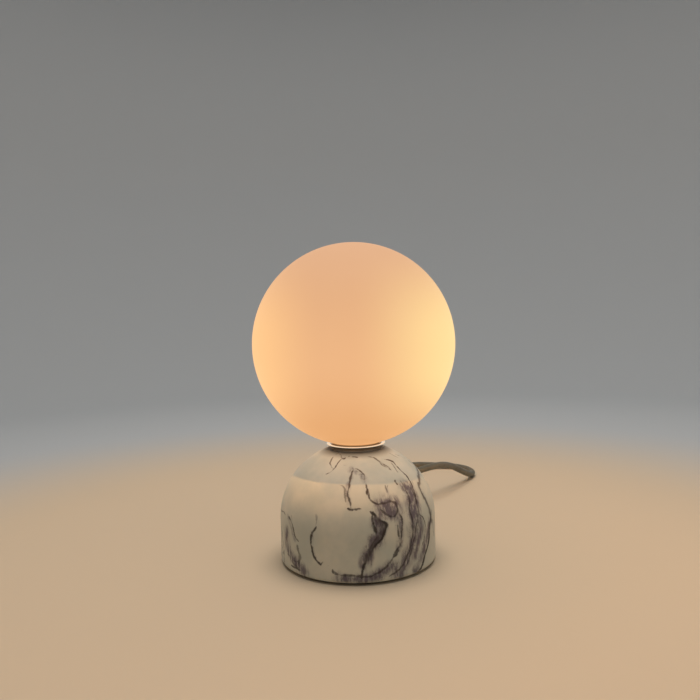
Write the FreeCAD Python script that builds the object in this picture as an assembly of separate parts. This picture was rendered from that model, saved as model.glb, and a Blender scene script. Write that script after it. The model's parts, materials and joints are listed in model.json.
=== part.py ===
import FreeCAD, Part
import math
import os
from FreeCAD import Vector

# Glass globe table lamp, in millimetres. The origin is the centre of the underside, +Z is up,
# the front faces -Y and the cord leaves at the back, towards +Y.

# ---------------------------------------------------------------- driving sizes
# Marble base: a turned dome with a flat top, on a straight wall
base_radius = 58.0
base_wall_top = 33.0
dome_rise = 54.1
top_flat_radius = 21.9
base_foot_round = 2.2
top_edge_round = 1.0
recess_radius = 38.0
recess_ceiling = 28.0
rebate_depth = 1.8

# Pad and bottom cover
pad_thickness = 1.5
pad_width = 11.0
pad_inset = 4.0
pad_edge_round = 0.5
cover_thickness = 1.5
cover_margin = 3.0

# Globe: a glass ball with a short neck
globe_radius = 75.0
glass_thickness = 3.0
globe_split = 100.0
neck_radius = 17.0
neck_wall = 2.4
neck_round = 3.0

# Cup that holds the neck, and its gasket and washer
cup_wall = 0.9
cup_depth = 16.1
cup_corner_round = 2.0
rim_radius = 21.5
rim_height = 4.5
rim_gap = 1.75
washer_thickness = 1.0
gasket_thickness = 2.5

# Hollow tube that ties the cup to the base, and its nuts
tube_radius = 5.0
tube_bore_radius = 3.9
tube_below_nut = 2.3
tube_above_nut = 1.3
nut_width = 14.0
nut_height = 3.0
nut_chamfer = 0.6
tube_chamfer = 0.5

# Inside the underside recess
clamp_plate_radius = 33.0
clamp_plate_thickness = 2.0
lower_washer_radius = 10.0
lower_washer_thickness = 1.2
standoff_count = 3
standoff_circle_radius = 28.0
standoff_width = 6.0
stud_radius = 1.5
cover_screw_radius = 1.5
cover_screw_length = 9.0
cover_screw_head_radius = 2.8
cross_recess_reach = 1.96
cross_recess_width = 0.7
cross_recess_depth = 0.9

# Lampholder on its bracket
bracket_thickness = 1.2
bracket_width = 8.0
bracket_half_length = 10.4
bracket_height = 9.2
bracket_tab_length = 5.0
bracket_eye_radius = 8.0
holder_radius = 9.6
holder_height = 20.0
holder_waist = 1.2
holder_waist_shares = (0.28, 0.34, 0.72, 0.78)
holder_top_chamfer = 0.6
holder_slot_length = 4.4
holder_slot_width = 2.2
holder_slot_depth = 15.0
holder_screw_radius = 1.2
holder_screw_spacing = 14.4
contact_thickness = 0.4
lead_seat_depth = 3.0
holder_screw_depth = 4.0
holder_screw_head_height = 1.3
holder_screw_head_radius = 1.9
contact_top_gap = 1.5

# Bulb with two looped pins
bulb_radius = 7.0
bulb_base_height = 8.0
bulb_base_foot_height = 1.0
bulb_base_foot_inset = 1.2
bulb_base_shoulder_inset = 0.4
bulb_height = 45.0
bulb_wall = 0.9
emitter_radius = 3.0
emitter_share_of_envelope = 0.75
pin_wire_radius = 0.4
pin_loop_width = 3.0
pin_length = 14.0
pin_spacing = 9.0

# Terminal block and cord clamp, both under the clamp plate
block_size = Vector(16.0, 18.0, 12.0)
block_centre_x = -20.0
block_centre_y = -6.0
block_pole_spacing = 8.0
block_entry_radius = 1.7
block_screw_radius = 1.6
block_entry_share = 0.42
block_seat_depth = 5.0
grub_screw_sink = 0.4
grub_slot_depth = 1.2
screw_slot_width = 0.6
clamp_width = 22.0
clamp_breadth = 8.0
clamp_bar_height = 6.0
clamp_y = 26.0
clamp_screw_radius = 1.4
clamp_screw_reach = 7.0
clamp_head_radius = 2.38
clamp_head_height = 1.6
clamp_slot_depth = 0.8
clamp_split_gap = 0.6
jacket_strip_gap = 2.0

# Cord and its exit through the base
cord_diameter = 6.4
lead_radius = 1.1
lead_spacing = 3.2
exit_height = 12.0
gland_radius = 4.9
gland_flange_radius = 8.0
gland_flange_thickness = 2.0
gland_seat_depth = 1.5
gland_length = 26.0
gland_tip_wall = 0.85
gland_groove_depth = 0.6
gland_groove_count = 4

# Switch on the cord
switch_length = 52.0
switch_width = 24.0
switch_height = 18.0
switch_wall = 2.0
switch_plan_round = 9.0
switch_edge_round = 3.0
switch_floor_gap = 0.3
sleeve_length = 8.0
switch_turn = 23.0
sleeve_root_radius = 4.6
sleeve_tip_radius = 4.0
rocker_length = 21.0
rocker_width = 10.0
rocker_swing = 14.0
rocker_stand = 1.6
rocker_pivot_depth = 2.2
rocker_dish = 1.3
pivot_radius = 1.0
switch_screw_radius = 1.3
switch_screw_inset = 8.0
switch_screw_reach = 5.0
switch_head_radius = 2.47
switch_head_height = 1.4
switch_head_seat = 2.6
switch_slot_width = 0.7
switch_slot_depth = 0.7
rocker_skirt = 2.6
pivot_overhang = 2.0
cheek_depth = 2.5
cheek_half_length = 3.0
strip_spacing = 7.0
strip_length = 18.0
strip_width = 3.0
strip_thickness = 0.6
strip_post_offset = 8.0
strip_post_thickness = 1.6
strip_post_rise = 0.5

# Strap that ties the coil
tie_width = 6.0
tie_thickness = 0.7
tie_corner = 3.4
tie_tab_length = 14.0
tie_slack = 0.9

# Flat two-pin plug
plug_front_width = 35.3
plug_height = 13.7
plug_rear_width = 9.8
plug_length = 32.0
plug_relief_length = 16.0
plug_relief_tip_radius = 4.0
plug_pin_radius = 2.0
plug_pin_length = 19.0
plug_pin_spacing = 19.0
plug_sleeve_length = 10.0
plug_pin_round = 0.9
plug_shank_radius = 1.45
plug_face_round = 1.2
plug_face_draft = 1.6
plug_corner_share = 0.42
plug_groove_count = 4
plug_groove_depth = 0.6
plug_relief_overlap = 2.0
plug_relief_step = 0.1
# each section between the rear and the face: its place, width, height and corner as shares
plug_waist = (0.78, 0.46, 0.90, 0.40)
plug_shoulder = (0.45, 0.86, 1.00, 0.42)

# Clearances
running = 0.05
loose = 0.3
slip = 0.15
neck_clearance = 0.9
turn_gap = 0.6

# ---------------------------------------------------------------- places worked out from the sizes
cord_radius = cord_diameter / 2
marble_bottom = pad_thickness
marble_top = base_wall_top + dome_rise * math.sqrt(1 - (top_flat_radius / base_radius) ** 2)
rebate_radius = recess_radius + cover_margin
cup_outer_radius = neck_radius + neck_clearance + cup_wall
cup_inner_radius = neck_radius + neck_clearance
rim_top = marble_top + rim_height
cup_floor_bottom = marble_top - cup_depth
cup_floor_top = cup_floor_bottom + cup_wall
gasket_top = cup_floor_top + gasket_thickness
rim_glass = rim_top + rim_gap
globe_centre = rim_glass + math.sqrt(globe_radius ** 2 - rim_radius ** 2)
neck_bore_radius = neck_radius - neck_wall

bracket_top = cup_floor_top + bracket_height
upper_nut_bottom = cup_floor_top + bracket_thickness
upper_nut_top = upper_nut_bottom + nut_height
plate_bottom = recess_ceiling - clamp_plate_thickness
washer_bottom = plate_bottom - lower_washer_thickness
lower_nut_bottom = washer_bottom - nut_height
tube_bottom = lower_nut_bottom - tube_below_nut
tube_top = upper_nut_top + tube_above_nut
cover_top = marble_bottom + rebate_depth
cover_bottom = cover_top - cover_thickness
holder_top = bracket_top + holder_height
bulb_top = holder_top + bulb_height

block_top = plate_bottom
block_bottom = block_top - block_size.z
entry_height = block_bottom + block_entry_share * block_size.z
block_front = block_centre_y - block_size.y / 2
block_back = block_centre_y + block_size.y / 2
clamp_bar_bottom = exit_height - clamp_bar_height
clamp_screw_x = (cord_radius + clamp_width / 2) / 2
clamp_screw_top = exit_height + clamp_screw_reach
jacket_end_y = clamp_y - clamp_breadth / 2 - jacket_strip_gap
gland_seat_y = math.sqrt(recess_radius ** 2 - gland_flange_radius ** 2) + gland_seat_depth
gland_end_y = base_radius + gland_length

# The cord's route from the base to the switch. It leaves straight back, rises in a hump beside
# the base, comes down and turns back to the switch behind the lamp.
switch_centre = Vector(18.0, 244.0, switch_floor_gap + switch_height / 2)
switch_way = Vector(math.cos(math.radians(switch_turn)), math.sin(math.radians(switch_turn)), 0)
sleeve_reach = switch_length / 2 + sleeve_length
switch_low = switch_centre.z - switch_height / 2
switch_top = switch_centre.z + switch_height / 2
switch_screw_top = switch_centre.z + switch_screw_reach
pivot = Vector(switch_centre.x, switch_centre.y, switch_top - rocker_pivot_depth)
pivot_reach = rocker_width / 2 + pivot_overhang
floor_line = cord_radius + 0.1


def on_switch_axis(reach):
    """A point of the switch's long axis, beyond its centre."""
    return tuple(switch_centre + switch_way * reach)


run_route = [
    (0.0, gland_end_y, exit_height),
    (0.0, gland_end_y + 16.0, exit_height),
    (8.0, 118.0, 16.0),
    (24.0, 130.0, 22.5),
    (42.0, 138.0, 27.0),
    (63.0, 149.0, 30.5),
    (83.0, 169.0, 30.5),
    (98.0, 192.0, 24.0),
    (112.0, 213.0, 13.0),
    (124.0, 230.0, 4.6),
    (130.0, 249.0, floor_line),
    (124.0, 270.0, floor_line),
    (105.5, 283.0, floor_line),
    (83.0, 281.0, 5.0),
    on_switch_axis(sleeve_reach + 20.0),
    on_switch_axis(sleeve_reach),
]

# The coil of the put-away length lies behind the base. It winds in on the floor, climbs one
# layer in the half turn where it reverses, and winds out again.
coil_centre = Vector(-3.0, 166.0, floor_line + tie_thickness + slip)
coil_radius = 46.0
coil_turns = 4.4
coil_turns_in = (coil_turns - 0.5) / 2
# The strap ties the turns where these two pass it, a quarter turn before the coil's start.
inner_tied_turn, last_tied_turn = 1.75, 3.75
# Along the cord, places nearer than this count as neighbours and aren't compared.
neighbour_reach = 60.0
coil_pitch = cord_diameter + turn_gap
coil_layer = cord_diameter + turn_gap
coil_start = Vector(coil_centre.x - coil_radius, coil_centre.y + cord_diameter, coil_centre.z)
coil_end_angle = math.pi + 2 * math.pi * coil_turns
coil_end_way = Vector(-math.sin(coil_end_angle), math.cos(coil_end_angle), 0)
coil_end = (coil_centre + Vector(math.cos(coil_end_angle), math.sin(coil_end_angle), 0) * coil_radius
            + coil_end_way * cord_diameter + Vector(0, 0, coil_layer))
lead_route = [
    on_switch_axis(-sleeve_reach),
    on_switch_axis(-sleeve_reach - 15.0),
    (-42.5, 209.0, 4.5),
    (coil_start.x, 190.0, coil_centre.z),
    tuple(coil_start),
]
# The plug lies on the coil, its pins to the left. The cord's end climbs over the turns to reach it.
plug_floor = coil_end.z + cord_radius + 0.3
plug_tail = Vector(11.6, 195.7, plug_floor + plug_height / 2)
end_route = [
    tuple(coil_end),
    tuple(coil_end + coil_end_way * 11.0),
    (47.3, 163.7, 12.0),
    (46.1, 174.6, 14.0),
    (41.1, 184.4, 16.9),
    (32.9, 191.8, 19.8),
    (plug_tail.x + 11.0, plug_tail.y, plug_tail.z),
    tuple(plug_tail),
]
plug_front = plug_tail - Vector(plug_relief_length + plug_length, 0, 0)

X = Vector(1, 0, 0)
Y = Vector(0, 1, 0)
Z = Vector(0, 0, 1)


# ---------------------------------------------------------------- helpers
def at(r, z):
    """A point of a profile that is turned about the Z axis."""
    return Vector(r, 0, z)


def line(a, b):
    return Part.LineSegment(a, b).toShape()


def arc(a, middle, b):
    return Part.Arc(a, middle, b).toShape()


def bend(a, corner, b, weight=1.0):
    """A smooth curve from a to b that leaves and arrives along the lines through the corner."""
    curve = Part.BSplineCurve()
    curve.buildFromPolesMultsKnots([a, corner, b], [3, 3], [0, 1], False, 2, [1, weight, 1])
    return curve


def polyline(points):
    return [line(a, b) for a, b in zip(points, points[1:])]


def turned(edges, base=Vector(0, 0, 0), axis=Z):
    """The solid that a closed profile sweeps about an axis."""
    return Part.Face(Part.Wire(edges)).revolve(base, axis, 360)


def turned_points(points, base=Vector(0, 0, 0), axis=Z):
    return turned(polyline(list(points) + [points[0]]), base, axis)


def rod(radius, start, end):
    """A round bar between two points."""
    along = end - start
    return Part.makeCylinder(radius, along.Length, start, along)


def disc(radius, bottom, top, x=0.0, y=0.0):
    return rod(radius, Vector(x, y, bottom), Vector(x, y, top))


def block(low, high):
    return Part.makeBox(high.x - low.x, high.y - low.y, high.z - low.z, low)


def around(count, radius, first_angle=0.0):
    """Places at equal angles on a circle."""
    angles = [math.radians(first_angle + 360.0 * k / count) for k in range(count)]
    return [Vector(radius * math.cos(a), radius * math.sin(a), 0) for a in angles]


def hexagon(width, bottom, top, place=Vector(0, 0, 0)):
    corners = [place + p + Z * bottom for p in around(6, width / math.sqrt(3), 30.0)]
    return Part.Face(Part.makePolygon(corners + corners[:1])).extrude(Z * (top - bottom))


def nut(bottom, top):
    """A thin hexagon nut, its corners turned off on both sides, with a plain clearance bore."""
    corner = nut_width / math.sqrt(3) + running
    cut = turned_points([
        at(0, bottom), at(corner - nut_chamfer, bottom), at(corner, bottom + nut_chamfer),
        at(corner, top - nut_chamfer), at(corner - nut_chamfer, top), at(0, top)])
    return hexagon(nut_width, bottom, top).common(cut).cut(disc(tube_radius + running, bottom, top))


def rounded_rectangle(width, height, corner, centre, across=X, up=Z):
    """A closed outline with four straight sides and four round corners."""
    w, h = width / 2, height / 2
    r = min(corner, 0.98 * w, 0.98 * h)
    short = r * (1 - math.sqrt(0.5))

    def point(a, b):
        return centre + across * a + up * b

    edges = []
    for sx, sy in ((1, 1), (-1, 1), (-1, -1), (1, -1)):
        first, last = point(sx * w, sy * (h - r)), point(sx * (w - r), sy * h)
        middle = point(sx * (w - short), sy * (h - short))
        if sx * sy < 0:
            first, last = last, first
        edges.append(arc(first, middle, last))
        following = {(1, 1): point(-(w - r), h), (-1, 1): point(-w, -(h - r)),
                     (-1, -1): point(w - r, -h), (1, -1): point(w, h - r)}[(sx, sy)]
        edges.append(line(last, following))
    return Part.Wire(edges)


def path_of(points):
    """Straight runs joined by tangent arcs, each as large as its two runs allow."""
    points = [Vector(*p) for p in points]
    edges, radii, here = [], [], points[0]
    for before, corner, after in zip(points, points[1:], points[2:]):
        back, ahead = before - corner, after - corner
        half_turn = (math.pi - back.getAngle(ahead)) / 2
        reach = 0.45 * min(back.Length, ahead.Length)
        radius = reach / math.tan(half_turn)
        back.normalize()
        ahead.normalize()
        first, last = corner + back * reach, corner + ahead * reach
        inward = (back + ahead).normalize()
        middle = corner + inward * (radius / math.cos(half_turn) - radius)
        edges += [line(here, first), arc(first, middle, last)]
        radii.append(radius)
        here = last
    edges.append(line(here, points[-1]))
    return Part.Wire(edges), radii


def ring_at(wire, radius):
    """The round section that starts a tube."""
    edge = wire.OrderedEdges[0]
    start = edge.valueAt(edge.FirstParameter)
    return Part.Wire(Part.makeCircle(radius, start, edge.tangentAt(edge.FirstParameter)))


def tube(name, points, radius):
    """A cord or lead along a route, with its volume compared with section times length."""
    wire, radii = path_of(points)
    solid = wire.makePipeShell([ring_at(wire, radius)], True, False)
    share = solid.Volume / (math.pi * radius ** 2 * wire.Length)
    listed = " ".join("%.1f" % r for r in radii)
    print("%s: length %.1f, arc radii %s, volume / section x length %.4f"
          % (name, wire.Length, listed, share))
    return solid, wire.Length


def biarc(a, a_way, b, b_way):
    """Two arcs that join two points with the given directions, meeting tangentially."""
    gap = b - a
    ways = a_way + b_way
    square = 2 * (1 - a_way.dot(b_way))
    if square < 1e-9:
        reach = gap.dot(gap) / (4 * gap.dot(b_way))
    else:
        along = gap.dot(ways)
        reach = (math.sqrt(along ** 2 + square * gap.dot(gap)) - along) / square
    joint = (a + b + (a_way - b_way) * reach) * 0.5
    arcs = []
    for start, end, corner in ((a, joint, a + a_way * reach), (joint, b, b - b_way * reach)):
        chord_middle = (start + end) * 0.5
        rise = corner - chord_middle
        half = (end - start).Length / 2
        sag = half * rise.Length / (half + math.sqrt(rise.Length ** 2 + half * half))
        arcs.append(arc(start, chord_middle + rise.normalize() * sag, end))
    return arcs


# ---------------------------------------------------------------- base
def marble_base():
    """The stone dome: outside turned as one profile, then its seats and bores."""
    foot = base_foot_round
    short = foot * (1 - math.sqrt(0.5))
    dome = bend(at(base_radius, base_wall_top), at(base_radius, base_wall_top + dome_rise),
                at(0, base_wall_top + dome_rise), math.sqrt(0.5))
    edge = at(top_flat_radius, marble_top)
    profile = [
        line(at(0, marble_bottom), at(base_radius - foot, marble_bottom)),
        arc(at(base_radius - foot, marble_bottom),
            at(base_radius - short, marble_bottom + short),
            at(base_radius, marble_bottom + foot)),
        line(at(base_radius, marble_bottom + foot), at(base_radius, base_wall_top)),
        dome.toShape(0, dome.parameter(edge)),
        line(edge, at(0, marble_top)),
        line(at(0, marble_top), at(0, marble_bottom)),
    ]
    stone = turned(profile)
    brim = [e for e in stone.Edges if abs(e.BoundBox.ZMin - marble_top) < 1e-4
            and abs(e.BoundBox.ZMax - marble_top) < 1e-4 and e.BoundBox.XMax > top_flat_radius / 2]
    stone = stone.makeFillet(top_edge_round, brim)
    seats = [
        disc(rebate_radius, 0, cover_top),
        disc(recess_radius, 0, recess_ceiling),
        disc(tube_radius + loose, 0, marble_top),
        disc(cup_outer_radius + loose, cup_floor_bottom - washer_thickness, marble_top + 1),
        rod(gland_radius + slip, Vector(0, 0, exit_height), Vector(0, base_radius + 1, exit_height)),
        rod(gland_flange_radius + loose, Vector(0, 0, exit_height),
            Vector(0, gland_seat_y, exit_height)),
    ]
    for seat in seats:
        stone = stone.cut(seat)
    return stone


def base_pad():
    """A flat ring under the stone, its lower edges rounded."""
    outer = base_radius - pad_inset
    inner = outer - pad_width
    e = pad_edge_round
    return turned_points([at(inner + e, 0), at(outer - e, 0), at(outer, e), at(outer, pad_thickness),
                          at(inner, pad_thickness), at(inner, e)])


def standoff_places():
    return around(standoff_count, standoff_circle_radius, -90.0)


def standoffs():
    """Hexagon pillars, each with a stud through the clamp plate and a bore for a cover screw."""
    solids = []
    for place in standoff_places():
        pillar = hexagon(standoff_width, cover_top, plate_bottom, place)
        stud = disc(stud_radius, plate_bottom, recess_ceiling, place.x, place.y)
        bore = disc(cover_screw_radius + running, cover_top,
                    cover_bottom + cover_screw_length + 1, place.x, place.y)
        solids.append(pillar.fuse(stud).removeSplitter().cut(bore))
    return Part.makeCompound(solids)


def countersunk(place, slack=0.0):
    """A screw with a flat conical head, or with slack the hole for it."""
    head, shank = cover_screw_head_radius + slack, cover_screw_radius + slack
    cone = head - shank
    top = cover_bottom + cover_screw_length + slack
    screw = turned_points([at(0, cover_bottom), at(head, cover_bottom),
                           at(shank, cover_bottom + cone), at(shank, top), at(0, top)])
    screw.translate(place)
    return screw


def bottom_cover():
    plate = disc(rebate_radius - loose, cover_bottom, cover_top)
    for place in standoff_places():
        plate = plate.cut(countersunk(place, running))
    return plate


def cover_screws():
    """Countersunk screws, each with a cross recess."""
    arm, half = cross_recess_reach, cross_recess_width / 2
    solids = []
    for place in standoff_places():
        screw = countersunk(place)
        floor = cover_bottom + cross_recess_depth
        for a, b in ((arm, half), (half, arm)):
            screw = screw.cut(block(place + Vector(-a, -b, cover_bottom - 1),
                                    place + Vector(a, b, floor)))
        solids.append(screw)
    return Part.makeCompound(solids)


def clamp_plate():
    plate = disc(clamp_plate_radius, plate_bottom, recess_ceiling)
    plate = plate.cut(disc(tube_radius + loose, plate_bottom, recess_ceiling))
    for place in standoff_places():
        plate = plate.cut(disc(stud_radius + running, plate_bottom, recess_ceiling,
                               place.x, place.y))
    return plate


def flat_ring(outer, inner, bottom, top):
    return disc(outer, bottom, top).cut(disc(inner, bottom, top))


def threaded_tube():
    """The hollow tube, with small chamfers at both ends."""
    lead_in = tube_chamfer
    return turned_points([
        at(tube_bore_radius, tube_bottom), at(tube_radius - lead_in, tube_bottom),
        at(tube_radius, tube_bottom + lead_in), at(tube_radius, tube_top - lead_in),
        at(tube_radius - lead_in, tube_top), at(tube_bore_radius, tube_top)])


# ---------------------------------------------------------------- cup and globe
def holder_cup():
    """A spun metal cup with a flat floor and a rim that flares out under the ball."""
    c = cup_corner_round
    short = c * (1 - math.sqrt(0.5))
    inner_c = c - cup_wall
    inner_short = inner_c * (1 - math.sqrt(0.5))
    out, inn = cup_outer_radius, cup_inner_radius
    low, floor = cup_floor_bottom, cup_floor_top
    flare = marble_top + loose
    hole = tube_radius + loose
    profile = [
        line(at(hole, low), at(out - c, low)),
        arc(at(out - c, low), at(out - short, low + short), at(out, low + c)),
        line(at(out, low + c), at(out, flare)),
        bend(at(out, flare), at(out, rim_top - cup_wall), at(rim_radius, rim_top - cup_wall)).toShape(),
        arc(at(rim_radius, rim_top - cup_wall), at(rim_radius + cup_wall / 2, rim_top - cup_wall / 2),
            at(rim_radius, rim_top)),
        bend(at(rim_radius, rim_top), at(inn, rim_top), at(inn, flare)).toShape(),
        line(at(inn, flare), at(inn, floor + inner_c)),
        arc(at(inn, floor + inner_c), at(inn - inner_short, floor + inner_short),
            at(inn - inner_c, floor)),
        line(at(inn - inner_c, floor), at(hole, floor)),
        line(at(hole, floor), at(hole, low)),
    ]
    return turned(profile)


def globe_gasket():
    return flat_ring(cup_inner_radius - loose - (cup_corner_round - cup_wall), neck_bore_radius + slip,
                     cup_floor_top, gasket_top)


def whole_globe():
    """The glass ball and its neck, turned as one wall with a rounded root."""
    r = globe_radius
    bottom = gasket_top
    root_x = neck_radius + neck_round
    root_z = globe_centre - math.sqrt((r + neck_round) ** 2 - root_x ** 2)
    share = r / (r + neck_round)
    meet = at(root_x * share, globe_centre - (globe_centre - root_z) * share)
    to_meet = meet - at(root_x, root_z)
    to_neck = at(-1, 0)
    middle_way = (to_meet.normalize() + to_neck).normalize()
    inside = r - glass_thickness
    mouth = at(neck_bore_radius, globe_centre - math.sqrt(inside ** 2 - neck_bore_radius ** 2))
    profile = [
        line(at(neck_bore_radius, bottom), at(neck_radius, bottom)),
        line(at(neck_radius, bottom), at(neck_radius, root_z)),
        arc(at(neck_radius, root_z), at(root_x, root_z) + middle_way * neck_round, meet),
        arc(meet, at(r, globe_centre), at(0, globe_centre + r)),
        line(at(0, globe_centre + r), at(0, globe_centre + inside)),
        arc(at(0, globe_centre + inside), at(inside, globe_centre), mouth),
        line(mouth, at(neck_bore_radius, bottom)),
    ]
    return turned(profile)


def below_globe_split():
    return disc(globe_radius + loose, 0, globe_split)


def globe():
    """The ball above its foot. The two meet face to face, so that each is a simple open shell."""
    return whole_globe().cut(below_globe_split())


def globe_foot():
    """The bottom of the ball with the neck that drops into the cup."""
    return whole_globe().common(below_globe_split())


# ---------------------------------------------------------------- lampholder and bulb
def lampholder_bracket():
    """A strip bent up at both ends, with tabs turned in to carry the holder."""
    t, w, x = bracket_thickness, bracket_width / 2, bracket_half_length
    low, top = cup_floor_top, bracket_top
    strip = block(Vector(-x, -w, low), Vector(x, w, low + t))
    for side in (-1, 1):
        near, far = sorted((side * (x - t), side * x))
        leg = block(Vector(near, -w, low), Vector(far, w, top))
        near, far = sorted((side * (x - bracket_tab_length), side * x))
        tab = block(Vector(near, -w, top - t), Vector(far, w, top))
        strip = strip.fuse(leg).fuse(tab)
    strip = strip.fuse(disc(bracket_eye_radius, low, low + t)).removeSplitter()
    strip = strip.cut(disc(tube_radius + running, low, low + t))
    for side in (-1, 1):
        strip = strip.cut(disc(holder_screw_radius + slip, top - t, top,
                               side * holder_screw_spacing / 2, 0))
    return strip


def lampholder():
    """A ceramic holder with a waist, a slot for each pin and a hole for each lead and screw."""
    low, top, r = bracket_top, holder_top, holder_radius
    a, b, c, d = [low + share * holder_height for share in holder_waist_shares]
    edge = holder_top_chamfer
    body = turned_points([
        at(0, low), at(r, low), at(r, a), at(r - holder_waist, b), at(r - holder_waist, c), at(r, d),
        at(r, top - edge), at(r - edge, top), at(0, top)])
    for side in (-1, 1):
        body = body.cut(block(
            Vector(side * pin_spacing / 2 - holder_slot_length / 2, -holder_slot_width / 2,
                   top - holder_slot_depth),
            Vector(side * pin_spacing / 2 + holder_slot_length / 2, holder_slot_width / 2, top)))
        body = body.cut(disc(lead_radius + slip, low, low + lead_seat_depth + slip,
                             side * lead_spacing / 2, 0))
        body = body.cut(disc(holder_screw_radius + running, low, low + holder_screw_depth + slip,
                             side * holder_screw_spacing / 2, 0))
    return body


def lampholder_screws():
    solids = []
    for side in (-1, 1):
        x = side * holder_screw_spacing / 2
        low = bracket_top - bracket_thickness
        shank = disc(holder_screw_radius, low, bracket_top + holder_screw_depth, x, 0)
        head = disc(holder_screw_head_radius, low - holder_screw_head_height, low, x, 0)
        solids.append(shank.fuse(head).removeSplitter())
    return Part.makeCompound(solids)


def lampholder_contacts():
    """One sprung leaf against a wall of each pin slot."""
    wall = holder_slot_width / 2
    solids = []
    for side in (-1, 1):
        x = side * pin_spacing / 2
        solids.append(block(
            Vector(x - pin_loop_width / 2, wall - contact_thickness, holder_top - holder_slot_depth),
            Vector(x + pin_loop_width / 2, wall, holder_top - contact_top_gap)))
    return Part.makeCompound(solids)


def bulb_base():
    low, r = holder_top, bulb_radius
    return turned_points([
        at(0, low), at(r - bulb_base_foot_inset, low),
        at(r - bulb_base_shoulder_inset, low + bulb_base_foot_height),
        at(r, low + bulb_base_height), at(0, low + bulb_base_height)])


def bulb_envelope():
    """A closed tube with a round end."""
    low = holder_top + bulb_base_height
    r = bulb_radius

    def skin(radius, bottom):
        shoulder = bulb_top - bulb_radius
        slant = radius * math.sqrt(0.5)
        return turned([
            line(at(0, bottom), at(radius, bottom)),
            line(at(radius, bottom), at(radius, shoulder)),
            arc(at(radius, shoulder), at(slant, shoulder + slant), at(0, shoulder + radius)),
            line(at(0, shoulder + radius), at(0, bottom)),
        ])

    return skin(r, low).cut(skin(r - bulb_wall, low))


def bulb_emitter():
    low = holder_top + bulb_base_height
    return disc(emitter_radius, low, low + emitter_share_of_envelope * (bulb_top - low))


def bulb_pins():
    """Two loops of stiff wire."""
    solids = []
    r = pin_loop_width / 2 - pin_wire_radius
    for side in (-1, 1):
        x = side * pin_spacing / 2
        low = holder_top - pin_length + pin_wire_radius + r
        edges = [
            line(Vector(x - r, 0, holder_top), Vector(x - r, 0, low)),
            arc(Vector(x - r, 0, low), Vector(x, 0, low - r), Vector(x + r, 0, low)),
            line(Vector(x + r, 0, low), Vector(x + r, 0, holder_top)),
        ]
        wire = Part.Wire(edges)
        solids.append(wire.makePipeShell([ring_at(wire, pin_wire_radius)], True, False))
    return Part.makeCompound(solids)


# ---------------------------------------------------------------- inside wiring
def pole_places():
    return [block_centre_x + side * block_pole_spacing / 2 for side in (-1, 1)]


def terminal_block():
    """A two-pole block: a wire hole through each pole and two screw wells in its lower face."""
    half = Vector(block_size.x / 2, block_size.y / 2, 0)
    middle = Vector(block_centre_x, block_centre_y, 0)
    body = block(middle - half + Z * block_bottom, middle + half + Z * block_top)
    for x in pole_places():
        body = body.cut(rod(block_entry_radius, Vector(x, block_front, entry_height),
                            Vector(x, block_back, entry_height)))
        for side in (-1, 1):
            body = body.cut(disc(block_screw_radius + slip, block_bottom, entry_height,
                                 x, block_centre_y + side * block_size.y / 4))
    return body


def terminal_screws():
    """Grub screws that press on the wires, each with a slot."""
    solids = []
    for x in pole_places():
        for side in (-1, 1):
            y = block_centre_y + side * block_size.y / 4
            low, high = block_bottom + grub_screw_sink, entry_height - lead_radius
            screw = disc(block_screw_radius, low, high, x, y)
            half = Vector(block_screw_radius, screw_slot_width / 2, 0)
            slot = block(Vector(x, y, block_bottom) - half,
                         Vector(x, y, block_bottom + grub_slot_depth) + half)
            solids.append(screw.cut(slot))
    return Part.makeCompound(solids)


def slotted_screw(place, radius, top, seat, head_radius, head_height, slot_width, slot_depth):
    """A screw put in from below: a shank, a flat head under its seat and a slot across the head."""
    head_bottom = seat - head_height
    shank = disc(radius, seat, top, place.x, place.y)
    head = disc(head_radius, head_bottom, seat, place.x, place.y)
    half = Vector(head_radius + 1, slot_width / 2, 0)
    slot = block(place - half + Z * (head_bottom - 1), place + half + Z * (head_bottom + slot_depth))
    return shank.fuse(head).removeSplitter().cut(slot)


def clamp_half(low, high, screw_slack):
    body = block(Vector(-clamp_width / 2, clamp_y - clamp_breadth / 2, low),
                 Vector(clamp_width / 2, clamp_y + clamp_breadth / 2, high))
    body = body.cut(rod(cord_radius + slip, Vector(0, 0, exit_height),
                        Vector(0, 2 * clamp_y, exit_height)))
    for side in (-1, 1):
        body = body.cut(disc(clamp_screw_radius + screw_slack, low, min(high, clamp_screw_top + slip),
                             side * clamp_screw_x, clamp_y))
    return body


def cord_clamp_base():
    return clamp_half(exit_height + clamp_split_gap / 2, plate_bottom, running)


def cord_clamp_bar():
    return clamp_half(clamp_bar_bottom, exit_height - clamp_split_gap / 2, slip)


def cord_clamp_screws():
    return Part.makeCompound([
        slotted_screw(Vector(side * clamp_screw_x, clamp_y, 0), clamp_screw_radius, clamp_screw_top,
                      clamp_bar_bottom, clamp_head_radius, clamp_head_height, screw_slot_width,
                      clamp_slot_depth)
        for side in (-1, 1)])


def grooved_taper(start, end, r_start, r_end, grooves, deep):
    """Half profile of a tapered sleeve with ring grooves: points (along, radius)."""
    points = [(start, r_start)]
    step = (end - start) / (grooves + 1)

    def radius(s):
        return r_start + (r_end - r_start) * (s - start) / (end - start)

    for k in range(grooves):
        s = start + (k + 0.75) * step
        points += [(s, radius(s)), (s, radius(s) - deep), (s + step / 3, radius(s + step / 3) - deep),
                   (s + step / 3, radius(s + step / 3))]
    points.append((end, r_end))
    return points


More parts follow.
